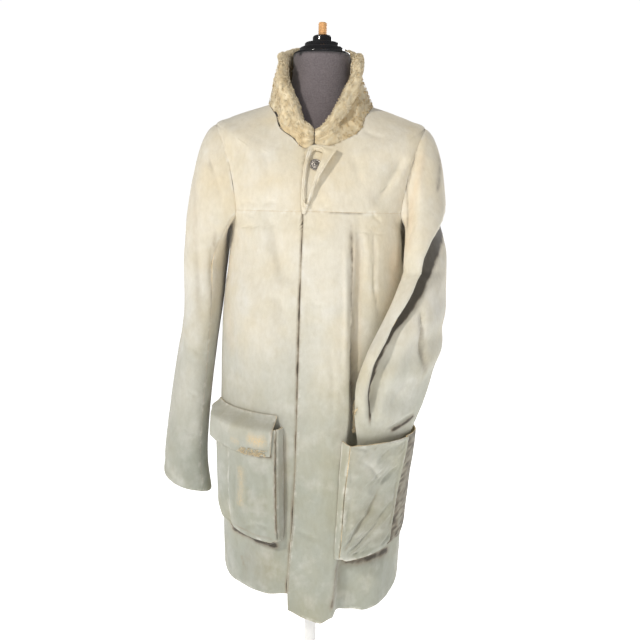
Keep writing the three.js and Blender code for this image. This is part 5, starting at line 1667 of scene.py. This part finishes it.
class COAT_OT_collar(bpy.types.Operator):
    """Loft the lamb collar and cover it with curls."""

    bl_idname = "coat.collar"
    bl_label = "Lamb collar"

    def execute(self, context):
        cols, rows = steps(230), steps(700)

        def relief(p, across, up, width, height, border):
            swirl = noise(p, 7.5, 21) + 0.6 * noise(p, 4.0, 22)
            lock = 1.0 - np.abs(noise(p, 9.0, 23)) * 2.2
            place = across / width + 0.018 * noise(p, 34, 24)
            grooves = sum(bell(place - at, 0.012) for at in (*COLLAR_GROOVES, 0.36))
            return 0.6 * swirl + 0.5 * lock - 0.8 - 1.5 * grooves

        def ends(a, b):
            p = collar_surface(a, b)
            close = np.minimum(b, 1 - b) * 700
            k = (1 - 0.3 * (1 - smooth(0, 3, close)) ** 2)[..., None]
            mid = (collar_surface(np.zeros_like(a), b) + collar_surface(np.full_like(a, 0.5), b)) * 0.5
            return mid + (p - mid) * k

        u = mix(COLLAR_FROM, COLLAR_TO, np.linspace(0, 1, rows + 1))[:, None] * np.ones((1, cols + 1))
        centre = np.mean(np.stack(collar_ring(u), 0), 0)
        collar = lay(
            "lamb_collar", cols, rows, ends, centre, relief=relief, wrap=True, thickness=0, seams="",
            materials=(lamb(),),
        )
        closed(collar.data)
        p = points_of(collar.data) * METRE
        paint(collar.data, "root", np.clip(0.45 + 0.5 * noise(p, 5, 31), 0, 0.9))
        stand_for(collar, "collar")
        self.curls()
        return {"FINISHED"}

    def curls(self):
        """Small loops of wool, each lying on the collar and turned its own way."""
        rng = np.random.default_rng(fur().seed)
        doublings = fur().doublings - 0
        for turns, squeeze, lift in ((0.8, 0.8, 0.5), (1.15, 0.65, 0.35)):
            bm = self.loop(turns, squeeze, lift)
            spots = self.spots(rng, 2**doublings)
            obj = scatter(f"lamb_curls_{'short' if turns < 1 else 'long'}", bm, doublings, spots)
            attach(obj, "root")

    @staticmethod
    def loop(turns, squeeze, lift):
        """One loop of wool, about 1 across."""
        bm = bmesh.new()
        section = Matrix.Translation((1, 0, 0)) @ Matrix.Rotation(math.pi / 2, 4, "X")
        ring = bmesh.ops.create_circle(bm, segments=4, radius=0.3, matrix=section)
        bmesh.ops.spin(
            bm, geom=ring["verts"] + list(bm.edges), axis=(0, 0, 1), cent=(0, 0, 0),
            dvec=(-0.045, 0, lift * 0.11), angle=math.tau * turns, steps=9, use_duplicate=False,
        )
        bmesh.ops.scale(bm, vec=(1, squeeze, 1), verts=bm.verts)
        return bm

    @staticmethod
    def spots(rng, count):
        """Places, axes times size, and shades of curls on the collar, but not on the side that is sewn on."""
        a, b = rng.uniform(0.0, 0.86, (1, count)), rng.uniform(0.004, 0.996, (1, count))
        p = collar_surface(a, b)[0]
        da = collar_surface(a + 0.01, b)[0] - p
        db = collar_surface(a, b + np.where(b > 0.99, -0.002, 0.002))[0] - p
        n = unit(np.cross(da, db) * np.where(b > 0.99, -1, 1)[0][:, None])
        middle = (collar_surface(np.full_like(a, 0.5), b)[0] + collar_surface(np.zeros_like(a), b)[0]) / 2
        if np.sum(n * (p - middle)) < 0:
            n = -n
        n = unit(n + rng.normal(0, 0.28, (count, 3)))
        x = unit(np.cross(n, rng.normal(0, 1, (count, 3))))
        size = fur().curl_size * rng.uniform(0.65, 1.25, count)
        axes = np.stack([x, np.cross(n, x), n], 1) * size[:, None, None]
        # Random root shade, plus painted shade under the roll and along the fold lines.
        shade = np.clip(rng.normal(0.1, 0.15, count), 0, 0.6) + collar_shade(a, b)[0]
        return p * MM + n * CURL_LIFT, axes, np.clip(shade, 0, 1)


def scatter(name, bm, doublings, spots):
    """Copies of a loop of wool, doubled until there are enough and then each put at its own spot."""
    stride = 4.0
    for k in range(doublings):
        grown = bmesh.ops.duplicate(bm, geom=bm.verts[:] + bm.edges[:] + bm.faces[:])["geom"]
        step = stride * 2 ** (k // 2)
        fresh = [g for g in grown if isinstance(g, bmesh.types.BMVert)]
        bmesh.ops.translate(bm, vec=(0, step, 0) if k % 2 else (step, 0, 0), verts=fresh)
    obj = from_bmesh(bm, name, lamb())
    mesh = obj.data
    co = points_of(mesh)
    cell = np.rint(co[:, :2] / stride).astype(int)
    local = co - np.column_stack([cell * stride, 0 * co[:, 2]])
    index = cell[:, 0] + cell[:, 1] * 2 ** ((doublings + 1) // 2)
    places, axes, shades = spots
    moved = places[index] + np.einsum("ni,nij->nj", local, axes[index])
    mesh.vertices.foreach_set("co", moved.ravel())
    # Root shade: ochre roots, darker low in each loop, plus on the collar the painted shade under its roll
    # and along its fold lines, carried in with the spots.
    paint(mesh, "root", np.clip(shades[index] + np.maximum(0, 0.35 - local[:, 2]), 0, 1))
    mesh.update()
    return obj


# ---- dress form and stand -----------------------------------------------------------------------
def form_inset(u, v):
    """How far the torso lies inside the coat."""
    shoulder = np.abs(np.sin(u * RAD)) ** 3
    return table(INSIDE, v) + np.where(v > 9, 9 * (1 - shoulder) * smooth(9, 10.5, v), 0)


def form_surface(a, b):
    """The torso and neck: a round it, b up from the waist seam to the top of the neck."""
    u = a * 360.0
    v = mix(FORM_LOW, NECK_LEVEL, np.clip(b / NECK_FROM, 0, 1))
    torso = base(u, v) - base_normal(u, v) * form_inset(u, v)[..., None]
    k = np.clip((b - NECK_FROM) / 0.2, 0, 1)
    first = spline(LEVELS, np.array([NECK_LEVEL]))[:, 0]
    rows = [(first[0] - 4, first[1] - 6, first[2] - 4, 93.6, 101, 72)] + list(NECK)
    zs, zf, zb, w, bf, bb = spline(rows, k * (len(rows) - 1))
    s, c = np.sin(u * RAD), np.cos(u * RAD)
    depth, middle = np.where(c > 0, bf, bb), np.where(c > 0, zf, zb)
    neck = vec(w * power(s, 0.92), -depth * power(c, 0.92), zs + (middle - zs) * c * c)
    joined = mix(torso, neck, smooth(NECK_FROM, NECK_JOINED, b)[..., None])
    return np.where((b < NECK_FROM)[..., None], torso, joined)


class COAT_OT_form(bpy.types.Operator):
    """Build the jersey torso, its black cap and the threaded post."""

    bl_idname = "coat.form"
    bl_label = "Dress form"

    def execute(self, context):
        def relief(p, across, up, width, height, border):
            level = p[..., 2] + 2.5 * noise(p, 26, 43)
            pulls = sum(h * bell(level - at, w) for at, w, h in NECK_PULLS)
            return 0.25 * noise(p, 30, 41) + 0.08 * noise(p, 6, 42) + pulls

        def trim(p):
            return smooth(1433.5, 1435, p[..., 2] + 1.8 * noise(p, 4, 44))

        def lengthen(bm):
            low = [e for e in bm.edges if e.is_boundary and e.verts[0].co.z < 0.9]
            grown = bmesh.ops.extrude_edge_only(bm, edges=low)["geom"]
            for vert in (g for g in grown if isinstance(g, bmesh.types.BMVert)):
                vert.co = Vector((vert.co.x * 0.88, vert.co.y * 0.88, FORM_UNDERSIDE))

        torso = lay(
            "jersey_torso", 128, 200, form_surface, AXIS, relief=relief, wrap=True, thickness=0, seams="",
            materials=(jersey(),), shade=trim,
        )
        closed(torso.data, lengthen)
        stand_for(torso, "form_torso")
        bm = turned(CAP, 96)
        bmesh.ops.scale(bm, vec=(1, 0.95, 1), verts=bm.verts)
        cap = from_bmesh(bm, "cap_black", hard("black_gloss", (0.012, 0.012, 0.014), 0.13, 0.0, 0.3))
        stand_for(cap, "form_neck_cap")
        stand_for(self.thread(), "form_post")
        return {"FINISHED"}

    @staticmethod
    def thread():
        """The wooden post with its thread."""

        def place(a, b):
            ridge = 0.5 + 0.5 * np.cos(math.tau * (b * POST_HEIGHT / POST_PITCH - a))
            r = (POST_RADIUS + POST_RIDGE * ridge) * mix(0.86, 1.0, smooth(1.0, 0.93, b))
            return vec(r * np.cos(a * math.tau), r * np.sin(a * math.tau), POST_LOW + POST_HEIGHT * b)

        wood = hard("post_wood_grain", (0.83, 0.47, 0.2), 0.55, 0.0, 0.25, 90, (1, 1, 0.25))
        post = lay(
            "post_wood", 48, 90, place, np.array([0.0, 0.0, 1487.0]), relief=None, wrap=True, thickness=0,
            seams="", materials=(wood,),
        )
        closed(post.data)
        return post


class COAT_OT_wool(bpy.types.Operator):
    """Scatter tufts of wool along the worn edges of the two flaps."""

    bl_idname = "coat.wool"
    bl_label = "Wool at worn edges"

    def execute(self, context):
        rng = np.random.default_rng(fur().seed + 1)
        doublings = 8
        half = 2 ** (doublings - 1)
        left = flap_left_place(rng.uniform(-0.02, 0.09, (1, half)), rng.uniform(0.02, 0.98, (1, half)))
        right = flap_right_place(
            rng.uniform(0.03, 0.32, (1, half)), rng.uniform(0.0, 0.32, (1, half)) ** 1.6,
        )
        places = np.concatenate([left[0], right[0]])
        places = places + unit(places * (1, 1, 0)) * 0.9
        n = unit(places * (1, 1, 0) + rng.normal(0, 60, places.shape))
        x = unit(np.cross(n, rng.normal(0, 1, places.shape)))
        size = fur().curl_size * rng.uniform(0.5, 1.0, 2 * half)
        axes = np.stack([x, np.cross(n, x), n], 1) * size[:, None, None]
        bm = COAT_OT_collar.loop(1.05, 0.7, 0.4)
        shades = np.clip(rng.normal(0.3, 0.2, 2 * half), 0, 1)
        obj = scatter("worn_wool", bm, doublings, (places * MM, axes, shades))
        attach(obj, "root")
        return {"FINISHED"}


class COAT_OT_stand(bpy.types.Operator):
    """Turn the pole and the round base."""

    bl_idname = "coat.stand"
    bl_label = "Pole and base"

    def execute(self, context):
        coating = hard("white_paint", (0.86, 0.86, 0.85), 0.4, 0.0, 0.03, 30)
        stand_for(from_bmesh(turned(POLE, 48), "pole_white", coating), "stand_pole")
        stand_for(from_bmesh(turned(PLATE, 128), "base_white", coating), "stand_base")
        return {"FINISHED"}


# ---- stage --------------------------------------------------------------------------------------
class COAT_OT_stage(bpy.types.Operator):
    """Lay the floor, light the coat and set the camera."""

    bl_idname = "coat.stage"
    bl_label = "Stage"

    def execute(self, context):
        scene = context.scene
        bm = bmesh.new()
        bmesh.ops.create_grid(bm, x_segments=2, y_segments=2, size=30)
        floor = from_bmesh(bm, "floor", self.pale("pale_floor"), False)
        world = scene.world or bpy.data.worlds.new("studio")
        scene.world = world
        world.use_nodes = True
        tree = world.node_tree
        back = tree.nodes["Background"]
        back.inputs["Color"].default_value = (1, 1, 1, 1)
        back.inputs["Strength"].default_value = 0.2
        seen = tree.nodes.new("ShaderNodeBackground")
        seen.inputs["Color"].default_value = (1, 1, 1, 1)
        seen.inputs["Strength"].default_value = 1.02
        path, either = tree.nodes.new("ShaderNodeLightPath"), tree.nodes.new("ShaderNodeMixShader")
        tree.links.new(path.outputs["Is Camera Ray"], either.inputs["Fac"])
        tree.links.new(back.outputs[0], either.inputs[1])
        tree.links.new(seen.outputs[0], either.inputs[2])
        tree.links.new(either.outputs[0], tree.nodes["World Output"].inputs["Surface"])
        for row in LAMPS:
            self.lamp(*row)
        camera = bpy.data.cameras.new("view")
        camera.lens, camera.sensor_width, camera.clip_end = LENS, SENSOR, 100
        eye = bpy.data.objects.new("view", camera)
        scene.collection.objects.link(eye)
        tilt = Matrix.Rotation(math.radians(90 - CAMERA_DOWN), 4, "X")
        roll = Matrix.Rotation(math.radians(CAMERA_ROLL), 4, "Z")
        eye.matrix_world = Matrix.Translation(CAMERA_AT) @ tilt @ roll
        scene.camera = eye
        scene.view_settings.view_transform = "Standard"
        return {"FINISHED"}

    @staticmethod
    def pale(name):
        k = Nodes(name)
        k.surface(Base_Color=(0.92, 0.92, 0.92, 1), Roughness=0.9)
        k.surface(Emission_Color=(1, 1, 1, 1), Emission_Strength=1.0)
        return k.material

    @staticmethod
    def lamp(name, at, to, size, power_w, colour):
        data = bpy.data.lights.new(name, "AREA")
        data.shape, data.size, data.energy, data.color = "DISK", size, power_w, colour
        obj = bpy.data.objects.new(name, data)
        bpy.context.scene.collection.objects.link(obj)
        turn = (Vector(to) - Vector(at)).to_track_quat("-Z", "Y")
        obj.matrix_world = Matrix.Translation(at) @ turn.to_matrix().to_4x4()


# ---- panel and registration ---------------------------------------------------------------------
PIECES = (
    COAT_OT_stage, COAT_OT_fronts, COAT_OT_yokes, COAT_OT_back, COAT_OT_sleeves, COAT_OT_pockets,
    COAT_OT_flaps, COAT_OT_collar, COAT_OT_tab, COAT_OT_button, COAT_OT_wool, COAT_OT_form, COAT_OT_stand,
)


class COAT_PT_panel(bpy.types.Panel):
    """The coat's sizes, colours and pieces."""

    bl_label = "Sheepskin coat"
    bl_space_type = "VIEW_3D"
    bl_region_type = "UI"
    bl_category = "Coat"

    def draw(self, context):
        for group in (context.scene.coat_cut, context.scene.coat_fur, context.scene.coat_colours):
            box = self.layout.box()
            for key in group.__annotations__:
                box.prop(group, key)
        for piece in PIECES:
            self.layout.operator(piece.bl_idname)


GROUPS = {"coat_cut": CoatCut, "coat_fur": LambFur, "coat_colours": CoatColours}


def register():
    for name, group in GROUPS.items():
        bpy.utils.register_class(group)
        setattr(bpy.types.Scene, name, bpy.props.PointerProperty(type=group))
    for cls in (*PIECES, COAT_PT_panel):
        bpy.utils.register_class(cls)


def unregister():
    for cls in reversed((*PIECES, COAT_PT_panel)):
        bpy.utils.unregister_class(cls)
    for name, group in reversed(GROUPS.items()):
        delattr(bpy.types.Scene, name)
        bpy.utils.unregister_class(group)


def main():
    register()
    for piece in PIECES:
        area, verb = piece.bl_idname.split(".")
        getattr(getattr(bpy.ops, area), verb)()
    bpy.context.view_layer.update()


if __name__ == "__main__":
    main()
